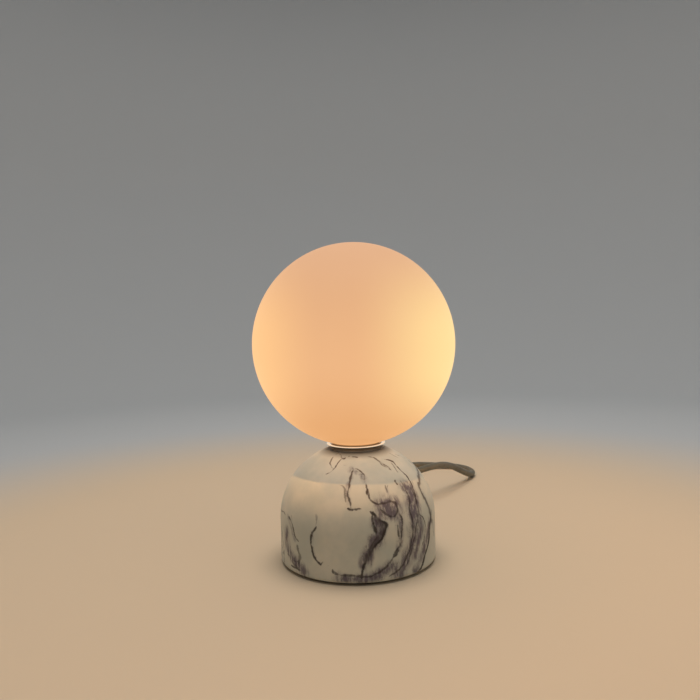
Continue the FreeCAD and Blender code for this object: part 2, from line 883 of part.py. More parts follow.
def cord_gland():
    """The strain relief: a flange inside, a barrel through the stone and a grooved tapered tail."""
    bore = cord_radius + slip
    flange_back = gland_seat_y - gland_flange_thickness
    tip = bore + gland_tip_wall
    tail = grooved_taper(base_radius + 2.0, gland_end_y, gland_radius, tip, gland_groove_count,
                         gland_groove_depth)
    outline = [(flange_back, bore), (flange_back, gland_flange_radius),
               (gland_seat_y, gland_flange_radius), (gland_seat_y, gland_radius)]
    outline += tail + [(gland_end_y, bore)]
    points = [Vector(0, y, exit_height + r) for y, r in outline]
    return turned_points(points, Vector(0, 0, exit_height), Y)


def inner_lead(side, low_corner, swing_y):
    """One insulated lead: down the hollow tube, round, and into the front of its pole."""
    x = side * lead_spacing / 2
    pole = pole_places()[0 if side > 0 else 1]
    return [
        (x, 0, bracket_top + lead_seat_depth),
        (x, 0, low_corner),
        (0.5 * pole, swing_y, low_corner + 0.5),
        (pole, block_front - 9.0, entry_height),
        (pole, block_front + block_seat_depth, entry_height),
    ]


def supply_lead(side, turn_y, sweep_height):
    """One core of the supply cord, from the end of its jacket to the back of its pole."""
    x = side * lead_spacing / 2
    pole = pole_places()[0 if side < 0 else 1]
    return [
        (x, jacket_end_y, exit_height),
        (x, turn_y, exit_height),
        (pole + 3.0, block_back + 5.0, sweep_height),
        (pole, block_back + 1.5, entry_height),
        (pole, block_back - block_seat_depth, entry_height),
    ]


# ---------------------------------------------------------------- coil
def coil_path():
    """Winds in, climbs one layer in half a turn, and winds out: a point and direction for each
    quarter turn, joined by two arcs each."""
    def place(turn):
        wound = min(turn, coil_turns - turn)
        climb = min(max((turn - coil_turns_in) / 0.5, 0.0), 1.0)
        eased = climb - math.sin(2 * math.pi * climb) / (2 * math.pi)
        radius = coil_radius - coil_pitch * wound
        angle = math.pi + 2 * math.pi * turn
        return coil_centre + Vector(radius * math.cos(angle), radius * math.sin(angle),
                                    coil_layer * eased)

    steps = int(round(coil_turns * 4))
    tiny = 1e-4
    stations = []
    for k in range(steps + 1):
        turn = coil_turns * k / steps
        way = (place(min(turn + tiny, coil_turns)) - place(max(turn - tiny, 0.0))).normalize()
        stations.append((place(turn), way))
    # both ends run square to what they meet
    stations[0] = (stations[0][0], Vector(0, -1, 0))
    stations[-1] = (stations[-1][0], coil_end_way)
    edges = [line(coil_start, stations[0][0])]
    for (a, a_way), (b, b_way) in zip(stations, stations[1:]):
        edges += biarc(a, a_way, b, b_way)
    edges.append(line(stations[-1][0], coil_end))
    return Part.Wire(edges)


def least_self_gap(wire, radius, skip):
    """The least distance between two places of the coil that aren't next to each other."""
    points = wire.discretize(Distance=radius / 2)
    apart = int(skip / (radius / 2))
    least = 1e9
    for i in range(0, len(points), 2):
        for j in range(i + apart, len(points)):
            least = min(least, (points[i] - points[j]).Length)
    return least - 2 * radius


def cord_coil():
    wire = coil_path()
    solid = wire.makePipeShell([ring_at(wire, cord_radius)], True, False)
    share = solid.Volume / (math.pi * cord_radius ** 2 * wire.Length)
    gap = least_self_gap(wire, cord_radius, neighbour_reach)
    print("cord_coil: length %.1f, least gap to itself %.2f, volume / section x length %.4f"
          % (wire.Length, gap, share))
    return solid, wire.Length


def coil_tie():
    """A flat strap round the turns, its free end laid over its top. It is a quarter turn before the
    coil's start, where the turns lie two abreast in both layers."""
    outermost = coil_radius - coil_pitch * (coil_turns - last_tied_turn)
    innermost = coil_radius - coil_pitch * inner_tied_turn
    middle = coil_centre + Vector(0, (outermost + innermost) / 2, coil_layer / 2)
    width = outermost - innermost + cord_diameter + tie_slack
    height = coil_layer + cord_diameter + 2 * slip
    start = middle - X * tie_width / 2
    inner = rounded_rectangle(width, height, tie_corner, start, Y, Z)
    outer = rounded_rectangle(width + 2 * tie_thickness, height + 2 * tie_thickness,
                              tie_corner + tie_thickness, start, Y, Z)
    band = Part.Face(outer).extrude(X * tie_width).cut(Part.Face(inner).extrude(X * tie_width))
    top = height / 2 + tie_thickness
    tab = block(start + Vector(0, -tie_tab_length / 2, top),
                start + Vector(tie_width, tie_tab_length / 2, top + tie_thickness))
    return band.fuse(tab).removeSplitter()


# ---------------------------------------------------------------- switch on the cord
def switch_shape(inset, low, high):
    """The switch's rounded plan between two heights, drawn in by an inset."""
    flat = Vector(switch_centre.x, switch_centre.y, low)
    plan = rounded_rectangle(switch_length - 2 * inset, switch_width - 2 * inset,
                             switch_plan_round - inset, flat, X, Y)
    return Part.Face(plan).extrude(Z * (high - low))


def rim_edges(solid, height):
    return [e for e in solid.Edges
            if abs(e.BoundBox.ZMin - height) < 1e-4 and abs(e.BoundBox.ZMax - height) < 1e-4]


def sleeve_ends():
    """The place and direction of the cord's entry at each end of the switch."""
    return [(Vector(switch_centre.x + side * switch_length / 2, switch_centre.y, switch_centre.z),
             X * side) for side in (-1, 1)]


def with_sleeve_seats(shell):
    for place, out in sleeve_ends():
        shell = shell.cut(rod(sleeve_root_radius + slip, place - out * 2 * switch_wall,
                              place + out * switch_wall))
    return shell


def screw_places():
    reach = switch_length / 2 - switch_screw_inset
    offset = switch_width / 2 - switch_wall - 2 * switch_screw_radius
    return [Vector(switch_centre.x + sx * reach, switch_centre.y - sx * offset, 0)
            for sx in (-1, 1)]


def switch_lower_shell():
    """The lower half: a tray with a post for each screw."""
    split = switch_centre.z
    shell = switch_shape(0, switch_low, split)
    shell = shell.makeFillet(switch_edge_round, rim_edges(shell, switch_low))
    shell = shell.cut(switch_shape(switch_wall, switch_low + switch_wall, split))
    for place in screw_places():
        post = disc(2 * switch_screw_radius, switch_low + switch_wall / 2, split, place.x, place.y)
        shell = shell.fuse(post)
    shell = with_sleeve_seats(shell.removeSplitter())
    for place in screw_places():
        shell = shell.cut(disc(switch_screw_radius + slip, switch_low, split, place.x, place.y))
        shell = shell.cut(disc(switch_head_radius + slip, switch_low, switch_low + switch_head_seat,
                               place.x, place.y))
    return shell


def switch_upper_shell():
    """The upper half: a lid with the rocker's window and blind bosses for the screws."""
    split = switch_centre.z
    shell = switch_shape(0, split, switch_top)
    shell = shell.makeFillet(switch_edge_round, rim_edges(shell, switch_top))
    shell = shell.cut(switch_shape(switch_wall, split, switch_top - switch_wall))
    for place in screw_places():
        shell = shell.fuse(disc(2 * switch_screw_radius, split, switch_top - switch_wall / 2,
                                place.x, place.y))
    half = Vector(rocker_length / 2 + loose, rocker_width / 2 + loose, 0)
    middle = Vector(switch_centre.x, switch_centre.y, 0)
    window = block(middle - half + Z * split, middle + half + Z * (switch_top + 1))
    shell = shell.removeSplitter().cut(window)
    for side in (-1, 1):
        near, far = sorted((side * (rocker_width / 2 + loose), side * (rocker_width / 2 + cheek_depth)))
        cheek = block(middle + Vector(-cheek_half_length, near, pivot.z - cheek_half_length),
                      middle + Vector(cheek_half_length, far, switch_top - switch_wall / 2))
        shell = shell.fuse(cheek)
    shell = shell.removeSplitter().cut(rod(pivot_radius + running, pivot - Y * pivot_reach,
                                           pivot + Y * pivot_reach))
    for place in screw_places():
        shell = shell.cut(disc(switch_screw_radius + running, split, switch_screw_top + slip,
                               place.x, place.y))
    return with_sleeve_seats(shell)


def switch_rocker():
    """A dished rocker, round-ended about its pivot so that it swings free in its window."""
    end = rocker_length / 2
    low = pivot.z - rocker_skirt
    high = switch_top + rocker_stand
    middle = Vector(switch_centre.x, switch_centre.y - rocker_width / 2, 0)
    outline = [middle + Vector(-end, 0, low), middle + Vector(end, 0, low),
               middle + Vector(end, 0, high), middle + Z * (high - rocker_dish),
               middle + Vector(-end, 0, high)]
    slab = Part.Face(Part.makePolygon(outline + outline[:1])).extrude(Y * rocker_width)
    round_end = rod(end, pivot - Y * rocker_width / 2, pivot + Y * rocker_width / 2)
    rocker = slab.common(round_end)
    rocker = rocker.cut(rod(pivot_radius + running, pivot - Y * rocker_width, pivot + Y * rocker_width))
    rocker.rotate(pivot, Y, -rocker_swing / 2)
    return rocker


def switch_contacts():
    """Two brass strips on the floor of the lower shell."""
    solids = []
    floor = switch_low + switch_wall
    half_strip = Vector(strip_length / 2, strip_width / 2, 0)
    half_post = Vector(strip_post_thickness / 2, strip_width / 2, 0)
    for side in (-1, 1):
        middle = Vector(switch_centre.x, switch_centre.y + side * strip_spacing / 2, floor)
        foot = block(middle - half_strip, middle + half_strip + Z * strip_thickness)
        root = middle + X * side * strip_post_offset
        height = switch_centre.z + strip_post_rise - floor
        post = block(root - half_post, root + half_post + Z * height)
        solids.append(foot.fuse(post).removeSplitter())
    return Part.makeCompound(solids)


def switch_screws():
    """Two screws from below, with slotted heads in their wells."""
    return Part.makeCompound([
        slotted_screw(place, switch_screw_radius, switch_screw_top, switch_low + switch_head_seat,
                      switch_head_radius, switch_head_height, switch_slot_width, switch_slot_depth)
        for place in screw_places()])


def switch_sleeves():
    """The tapered sleeves moulded on the cord at both ends of the switch."""
    solids = []
    for place, out in sleeve_ends():
        root = place - out * (2 * switch_wall - slip)
        points = [root, root + Z * sleeve_root_radius, place + Z * sleeve_root_radius,
                  place + out * sleeve_length + Z * sleeve_tip_radius, place + out * sleeve_length]
        solids.append(turned_points(points, place, X))
    return Part.makeCompound(solids)


# ---------------------------------------------------------------- plug
def on_plug(shape):
    """Takes a shape made with the plug's face at the origin and its pins towards -Y to its place."""
    shape.rotate(Vector(0, 0, 0), Z, -90)
    shape.translate(plug_front)
    return shape


def plug_section(y, width, height, corner):
    return rounded_rectangle(width, height, corner, Vector(0, y, 0), X, Z)


def plug_body():
    """A flat moulded body that widens towards its pins, with a grooved tail on the cord."""
    h, w, rear, corner = plug_height, plug_front_width, plug_length, plug_corner_share * plug_height
    sections = [plug_section(rear, plug_rear_width, plug_rear_width, plug_rear_width / 2)]
    for place, wide, high, round_share in (plug_waist, plug_shoulder):
        sections.append(plug_section(place * rear, wide * w, high * h, round_share * h))
    sections.append(plug_section(plug_face_round, w, h, corner))
    sections.append(plug_section(0, w - plug_face_draft, h - plug_face_draft, corner))
    body = Part.makeLoft(sections, True, True)
    tail, root_radius = rear + plug_relief_length, plug_rear_width / 2 - plug_relief_step
    taper = grooved_taper(tail, rear, plug_relief_tip_radius, root_radius, plug_groove_count,
                          plug_groove_depth)
    hidden = rear - plug_relief_overlap
    outline = [(tail, 0.0)] + taper + [(hidden, root_radius), (hidden, 0.0)]
    relief = turned_points([Vector(0, y, r) for y, r in outline], Vector(0, 0, 0), Y)
    return on_plug(body.fuse(relief).removeSplitter())


def plug_pin_roots():
    return [Vector(side * plug_pin_spacing / 2, 0, 0) for side in (-1, 1)]


def plug_pins():
    """Round pins with rounded tips, thinner where their sleeves are."""
    solids = []
    for root in plug_pin_roots():
        e = plug_pin_round
        short = e * (1 - math.sqrt(0.5))
        r, tip = plug_pin_radius, plug_pin_length

        def point(along, radius):
            return root + Vector(0, -along, radius)

        edges = polyline([point(tip, 0), point(0, 0), point(0, plug_shank_radius),
                          point(plug_sleeve_length, plug_shank_radius),
                          point(plug_sleeve_length, r), point(tip - e, r)])
        edges.append(arc(point(tip - e, r), point(tip - short, r - short), point(tip, r - e)))
        edges.append(line(point(tip, r - e), point(tip, 0)))
        solids.append(turned(edges, root, Y))
    return on_plug(Part.makeCompound(solids))


def plug_pin_sleeves():
    solids = []
    for root in plug_pin_roots():
        end = root - Y * plug_sleeve_length
        outer = rod(plug_pin_radius, root, end)
        solids.append(outer.cut(rod(plug_shank_radius + running, root, end)))
    return on_plug(Part.makeCompound(solids))


# ---------------------------------------------------------------- build
def cords():
    """Every stretch of cord and lead, and the cord's whole length."""
    parts, total = {}, 0.0
    runs = {
        "cord_tail": [(0, jacket_end_y, exit_height), (0, gland_end_y, exit_height)],
        "cord_run": run_route,
        "cord_lead": lead_route,
        "cord_end": end_route,
    }
    for name, route in runs.items():
        if len(route) == 2:
            parts[name] = rod(cord_radius, Vector(*route[0]), Vector(*route[1]))
            total += (Vector(*route[1]) - Vector(*route[0])).Length
            continue
        parts[name], length = tube(name, route, cord_radius)
        total += length
    parts["cord_coil"], length = cord_coil()
    total += length + 2 * sleeve_reach
    print("cord: %.0f in all, with the switch" % total)
    leads = {
        "live_lead": inner_lead(-1, tube_bottom - 6.0, -14.0),
        "neutral_lead": inner_lead(1, tube_bottom - 9.5, -17.0),
        "supply_live": supply_lead(-1, 15.0, exit_height + 2.0),
        "supply_neutral": supply_lead(1, 12.5, entry_height),
    }
    for name, route in leads.items():
        parts[name], _ = tube(name, route, lead_radius)
    return parts


makers = [
    marble_base, base_pad, bottom_cover, cover_screws, standoffs, clamp_plate, threaded_tube,
    holder_cup, globe_gasket, globe, globe_foot, lampholder_bracket, lampholder, lampholder_screws,
    lampholder_contacts, bulb_base, bulb_envelope, bulb_emitter, bulb_pins, terminal_block,
    terminal_screws, cord_clamp_base, cord_clamp_bar, cord_clamp_screws, cord_gland,
    switch_lower_shell, switch_upper_shell, switch_rocker, switch_contacts, switch_screws,
    switch_sleeves, coil_tie, plug_body, plug_pins, plug_pin_sleeves,
]
nodes = {maker.__name__: maker() for maker in makers}
nodes["lower_washer"] = flat_ring(lower_washer_radius, tube_radius + loose, washer_bottom, plate_bottom)
nodes["lower_locknut"] = nut(lower_nut_bottom, washer_bottom)
nodes["upper_locknut"] = nut(upper_nut_bottom, upper_nut_top)
nodes["cup_washer"] = flat_ring(cup_outer_radius - cup_corner_round, tube_radius + loose,
                                cup_floor_bottom - washer_thickness, cup_floor_bottom)
nodes["switch_pivot"] = rod(pivot_radius, pivot - Y * pivot_reach, pivot + Y * pivot_reach)
nodes.update(cords())

os.makedirs("parts", exist_ok=True)
for name, shape in nodes.items():
    if name.startswith("switch_"):
        shape.rotate(switch_centre, Z, switch_turn)
    if not shape.isValid():
        print("not valid:", name)
    shape.exportStep("parts/%s.step" % name)
print("%d nodes, %d solids" % (len(nodes), sum(len(s.Solids) for s in nodes.values())))
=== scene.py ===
import json
import math
import random

import bmesh
import bpy
import numpy as np
from mathutils import Matrix, Vector, noise


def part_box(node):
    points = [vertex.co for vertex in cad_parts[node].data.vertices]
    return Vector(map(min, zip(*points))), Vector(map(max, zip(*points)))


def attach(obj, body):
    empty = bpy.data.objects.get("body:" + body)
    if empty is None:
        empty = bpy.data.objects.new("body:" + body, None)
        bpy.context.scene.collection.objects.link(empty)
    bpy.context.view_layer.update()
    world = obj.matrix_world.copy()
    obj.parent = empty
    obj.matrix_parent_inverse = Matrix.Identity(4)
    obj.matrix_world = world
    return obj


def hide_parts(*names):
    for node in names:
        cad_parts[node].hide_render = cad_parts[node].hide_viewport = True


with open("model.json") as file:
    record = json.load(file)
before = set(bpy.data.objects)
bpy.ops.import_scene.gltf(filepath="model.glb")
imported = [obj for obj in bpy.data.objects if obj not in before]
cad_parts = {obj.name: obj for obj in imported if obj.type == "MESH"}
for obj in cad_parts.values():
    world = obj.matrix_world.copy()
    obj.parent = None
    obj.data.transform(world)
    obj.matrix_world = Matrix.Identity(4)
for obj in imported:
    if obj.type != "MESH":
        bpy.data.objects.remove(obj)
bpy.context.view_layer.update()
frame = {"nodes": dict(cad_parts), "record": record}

# A small table lamp: a satin opal glass ball in a polished cup on a turned dome of veined marble,
# with its mains cord, switch, coil and plug behind it. Metres, +Z up, the front faces -Y.
MM = 0.001

# ---------------------------------------------------------------- sizes read from the frame
stone_low, stone_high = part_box("marble_base")
stone_radius = stone_high.x
stone_bottom = stone_low.z
stone_top = stone_high.z
wall_top = 33.0 * MM
dome_rise = 54.1 * MM
top_flat_radius = 21.9 * MM
glass_low, glass_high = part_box("globe")
globe_radius = glass_high.x
globe_centre = Vector((0, 0, glass_high.z - globe_radius))
cup_low, cup_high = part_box("holder_cup")
cup_seat_radius = 18.8 * MM
cord_width = 6.4
cord_radius = cord_width / 2 * MM
exit_height = 12.0 * MM


# ---------------------------------------------------------------- camera
photo_middle = 350.0
focal_pixels = 690.0
camera_place = Vector((0.0, -0.5138, 0.1853))
camera_yaw = math.radians(-0.307)
camera_dip = math.radians(3.19)
camera_roll = math.radians(-1.396)


def camera_axes():
    """The camera's right, up and forward directions."""
    forward = Vector((math.sin(camera_yaw) * math.cos(camera_dip),
                      math.cos(camera_yaw) * math.cos(camera_dip), -math.sin(camera_dip)))
    level = forward.cross(Vector((0, 0, 1))).normalized()
    upright = level.cross(forward)
    right = level * math.cos(camera_roll) + upright * math.sin(camera_roll)
    up = upright * math.cos(camera_roll) - level * math.sin(camera_roll)
    return right, up, forward


def make_camera():
    data = bpy.data.cameras.new("camera")
    data.sensor_width = 36.0
    data.lens = 36.0 * focal_pixels / (2 * photo_middle)
    data.clip_start = 0.01
    camera = bpy.data.objects.new("camera", data)
    bpy.context.scene.collection.objects.link(camera)
    right, up, forward = camera_axes()
    turn = Matrix((right, up, -forward)).transposed().to_4x4()
    camera.matrix_world = Matrix.Translation(camera_place) @ turn
    bpy.context.scene.camera = camera


def pixel_ray(pixel):
    """The direction from the camera through a pixel of the 700 x 700 photograph."""
    right, up, forward = camera_axes()
    across = (pixel[0] - photo_middle) / focal_pixels
    down = (pixel[1] - photo_middle) / focal_pixels
    return (forward + right * across - up * down).normalized()


# ---------------------------------------------------------------- mesh helpers
stone_segments, globe_segments, cup_segments, studio_segments = 500, 256, 192, 96


def place_mesh(name, mesh, smooth_angle=None):
    """A new object with its place in its mesh, shaded smooth except across sharp edges."""
    if smooth_angle is not None:
        mesh.polygons.foreach_set("use_smooth", [True] * len(mesh.polygons))
        mesh.set_sharp_from_angle(angle=math.radians(smooth_angle))
    piece = bpy.data.objects.new(name, mesh)
    bpy.context.scene.collection.objects.link(piece)
    return piece


def turned_mesh(name, profile, segments):
    """A closed (radius, height) outline turned about the Z axis. Points on the axis become one pole."""
    angles = 2 * math.pi * np.arange(segments) / segments
    rings, corners, count = [], [], 0
    for r, z in profile:
        if r < 1e-7:
            corners.append(np.array([[0.0, 0.0, z]]))
            rings.append([count] * segments)
            count += 1
        else:
            corners.append(np.stack([r * np.cos(angles), r * np.sin(angles), np.full(segments, z)], 1))
            rings.append(list(range(count, count + segments)))
            count += segments
    faces = []
    for near, far in zip(rings, rings[1:] + rings[:1]):
        if near[0] == near[1] and far[0] == far[1]:
            continue
        for k in range(segments):
            j = (k + 1) % segments
            face = [near[k], near[j], far[j], far[k]]
            faces.append([v for i, v in enumerate(face) if v not in face[:i]])
    mesh = bpy.data.meshes.new(name)
    mesh.from_pydata(np.concatenate(corners).tolist(), [], faces)
    shape = bmesh.new()
    shape.from_mesh(mesh)
    bmesh.ops.recalc_face_normals(shape, faces=shape.faces)
    shape.to_mesh(mesh)
    shape.free()
    return mesh


def rounded(corner_centre, radius, first_angle, last_angle, steps):
    """Points of an arc in the (radius, height) plane, angles in degrees."""
    points = []
    for k in range(steps + 1):
        a = math.radians(first_angle + (last_angle - first_angle) * k / steps)
        points.append((corner_centre[0] + radius * math.cos(a), corner_centre[1] + radius * math.sin(a)))
    return points


def eased(start, corner, end, steps):
    """Points of a curve that leaves start and reaches end along the lines through the corner."""
    points = []
    for k in range(steps + 1):
        t = k / steps
        points.append(tuple((1 - t) ** 2 * a + 2 * t * (1 - t) * b + t * t * c
                            for a, b, c in zip(start, corner, end)))
    return points


def divided(start, end, steps):
    """Evenly spaced points along a straight line, without its end."""
    return [tuple(a + (b - a) * k / steps for a, b in zip(start, end)) for k in range(steps)]


# ---------------------------------------------------------------- shader helpers
def add(tree, kind, inputs=None, **settings):
    """A new node with its settings, and its inputs set to values or linked to sockets."""
    node = tree.nodes.new(kind)
    for key, value in settings.items():
        setattr(node, key, value)
    for key, value in (inputs or {}).items():
        if isinstance(value, bpy.types.NodeSocket):
            tree.links.new(value, node.inputs[key])
        else:
            node.inputs[key].default_value = value
    return node


def add_group(tree, group, inputs):
    return add(tree, "ShaderNodeGroup", inputs, node_tree=group)


def maths(tree, operation, a, b=0.0, clamp=False):
    return add(tree, "ShaderNodeMath", {0: a, 1: b}, operation=operation, use_clamp=clamp).outputs[0]


def ramp(tree, value, low, high, to_low=0.0, to_high=1.0):
    """A smooth step of a value from low to high."""
    node = add(tree, "ShaderNodeMapRange", {
        "Value": value, "From Min": low, "From Max": high, "To Min": to_low, "To Max": to_high,
    }, interpolation_type="SMOOTHSTEP")
    return node.outputs["Result"]


# The Mix node's sockets for its factor and, after those for numbers and vectors, for its colours
mix_factor, mix_first, mix_second, mix_result = 0, 6, 7, 2


def blended(tree, factor, first, second):
    """A mix of two colours, each a socket or red, green and blue."""
    first, second = [(*c, 1.0) if isinstance(c, tuple) else c for c in (first, second)]
    node = add(tree, "ShaderNodeMix", {mix_factor: factor, mix_first: first, mix_second: second},
               data_type="RGBA")
    return node.outputs[mix_result]


def object_place(tree):
    return add(tree, "ShaderNodeTexCoord").outputs["Object"]


def from_axis(tree, place):
    """How far a place is from the Z axis."""
    flat = add(tree, "ShaderNodeVectorMath", {0: place, 1: (1.0, 1.0, 0.0)}, operation="MULTIPLY")
    length = add(tree, "ShaderNodeVectorMath", {0: flat.outputs["Vector"]}, operation="LENGTH")
    return length.outputs["Value"]


def cloudy(tree, place, size, detail=3.0, stretch=(1, 1, 1)):
    """Noise from 0 to 1, whose patches measure about size metres."""
    scaled = add(tree, "ShaderNodeMapping", {"Vector": place, "Scale": tuple(s / size for s in stretch)})
    texture = add(tree, "ShaderNodeTexNoise", {
        "Vector": scaled.outputs[0], "Scale": 1.0, "Detail": detail, "Roughness": 0.55})
    return texture.outputs["Fac"]


def new_group(name, inputs, outputs):
    """An empty shader group with named sockets: (name, kind, default)."""
    group = bpy.data.node_groups.new(name, "ShaderNodeTree")
    for label, kind, default in inputs:
        socket = group.interface.new_socket(name=label, in_out="INPUT", socket_type=kind)
        if default is not None:
            socket.default_value = default
    for label, kind in outputs:
        group.interface.new_socket(name=label, in_out="OUTPUT", socket_type=kind)
    return group, group.nodes.new("NodeGroupInput"), group.nodes.new("NodeGroupOutput")


def grain_group():
    """Fine surface grain: a height for bump and a mask for roughness."""
    group, given, result = new_group(
        "surface_grain",
        [("Place", "NodeSocketVector", None), ("Grains Per Metre", "NodeSocketFloat", 1500.0)],
        [("Height", "NodeSocketFloat"), ("Mask", "NodeSocketFloat")])
    fine = add(group, "ShaderNodeTexNoise", {
        "Vector": given.outputs["Place"], "Scale": given.outputs["Grains Per Metre"], "Detail": 4.0})
    wide_scale = maths(group, "MULTIPLY", given.outputs["Grains Per Metre"], 0.06)
    wide = add(group, "ShaderNodeTexNoise", {
        "Vector": given.outputs["Place"], "Scale": wide_scale, "Detail": 3.0})
    group.links.new(fine.outputs["Fac"], result.inputs["Height"])
    group.links.new(ramp(group, wide.outputs["Fac"], 0.35, 0.65), result.inputs["Mask"])
    return group


def mottle_group():
    """Slow patches between two colours."""
    group, given, result = new_group(
        "colour_mottle",
        [("Place", "NodeSocketVector", None), ("Patches Per Metre", "NodeSocketFloat", 80.0),
         ("First Colour", "NodeSocketColor", (0.5, 0.5, 0.5, 1.0)),
         ("Second Colour", "NodeSocketColor", (0.4, 0.4, 0.4, 1.0))],
        [("Colour", "NodeSocketColor")])
    texture = add(group, "ShaderNodeTexNoise", {
        "Vector": given.outputs["Place"], "Scale": given.outputs["Patches Per Metre"],
        "Detail": 5.0, "Roughness": 0.6})
    colour = blended(group, ramp(group, texture.outputs["Fac"], 0.3, 0.7),
                     given.outputs["First Colour"], given.outputs["Second Colour"])
    group.links.new(colour, result.inputs["Colour"])
    return group


def turning_group():
    """Fine rings left by turning or spinning about the Z axis."""
    group, given, result = new_group(
        "turning_marks",
        [("Place", "NodeSocketVector", None), ("Rings Per Metre", "NodeSocketFloat", 1200.0)],
        [("Height", "NodeSocketFloat")])
    place = given.outputs["Place"]
    height = add(group, "ShaderNodeSeparateXYZ", {0: place}).outputs[2]
    along = maths(group, "ADD", from_axis(group, place), height)
    spaced = maths(group, "MULTIPLY", along, given.outputs["Rings Per Metre"])
    texture = add(group, "ShaderNodeTexNoise", {"W": spaced, "Scale": 1.0, "Detail": 2.0},
                  noise_dimensions="1D")
    group.links.new(texture.outputs["Fac"], result.inputs["Height"])
    return group


surface_grain = grain_group()
colour_mottle = mottle_group()
turning_marks = turning_group()


def new_material(name, **sockets):
    """A material with one Principled shader, whose uniform values sit on its own sockets."""
    material = bpy.data.materials.new(name)
    material.use_nodes = True
    tree = material.node_tree
    shader = tree.nodes["Principled BSDF"]
    for label, value in sockets.items():
        key = label.replace("_", " ").title().replace("Ior", "IOR")
        shader.inputs[key].default_value = value
    return material, tree, shader


def raise_bump(tree, shader, height, distance, strength=1.0):
    bump = add(tree, "ShaderNodeBump", {"Height": height, "Distance": distance, "Strength": strength})
    tree.links.new(bump.outputs["Normal"], shader.inputs["Normal"])


def plain_finish(name, colour, second_colour, smooth, rough, grains=1500.0, depth=0.02 * MM,
                 patches=80.0, turned=False, **sockets):
    """A moulded, painted, plated or fired finish: mottled colour, varying gloss and a fine grain."""
    material, tree, shader = new_material(name, **sockets)
    place = object_place(tree)
    grain = add_group(tree, surface_grain, {"Place": place, "Grains Per Metre": grains})
    mottle = add_group(tree, colour_mottle, {
        "Place": place, "Patches Per Metre": patches,
        "First Colour": (*colour, 1.0), "Second Colour": (*second_colour, 1.0)})
    tree.links.new(mottle.outputs["Colour"], shader.inputs["Base Color"])
    gloss = ramp(tree, grain.outputs["Mask"], 0.0, 1.0, smooth, rough)
    tree.links.new(gloss, shader.inputs["Roughness"])
    height = grain.outputs["Height"]
    if turned:
        rings = add_group(tree, turning_marks, {"Place": place})
        height = maths(tree, "ADD", maths(tree, "MULTIPLY", height, 0.3), rings.outputs["Height"])
    raise_bump(tree, shader, height, depth)
    return material


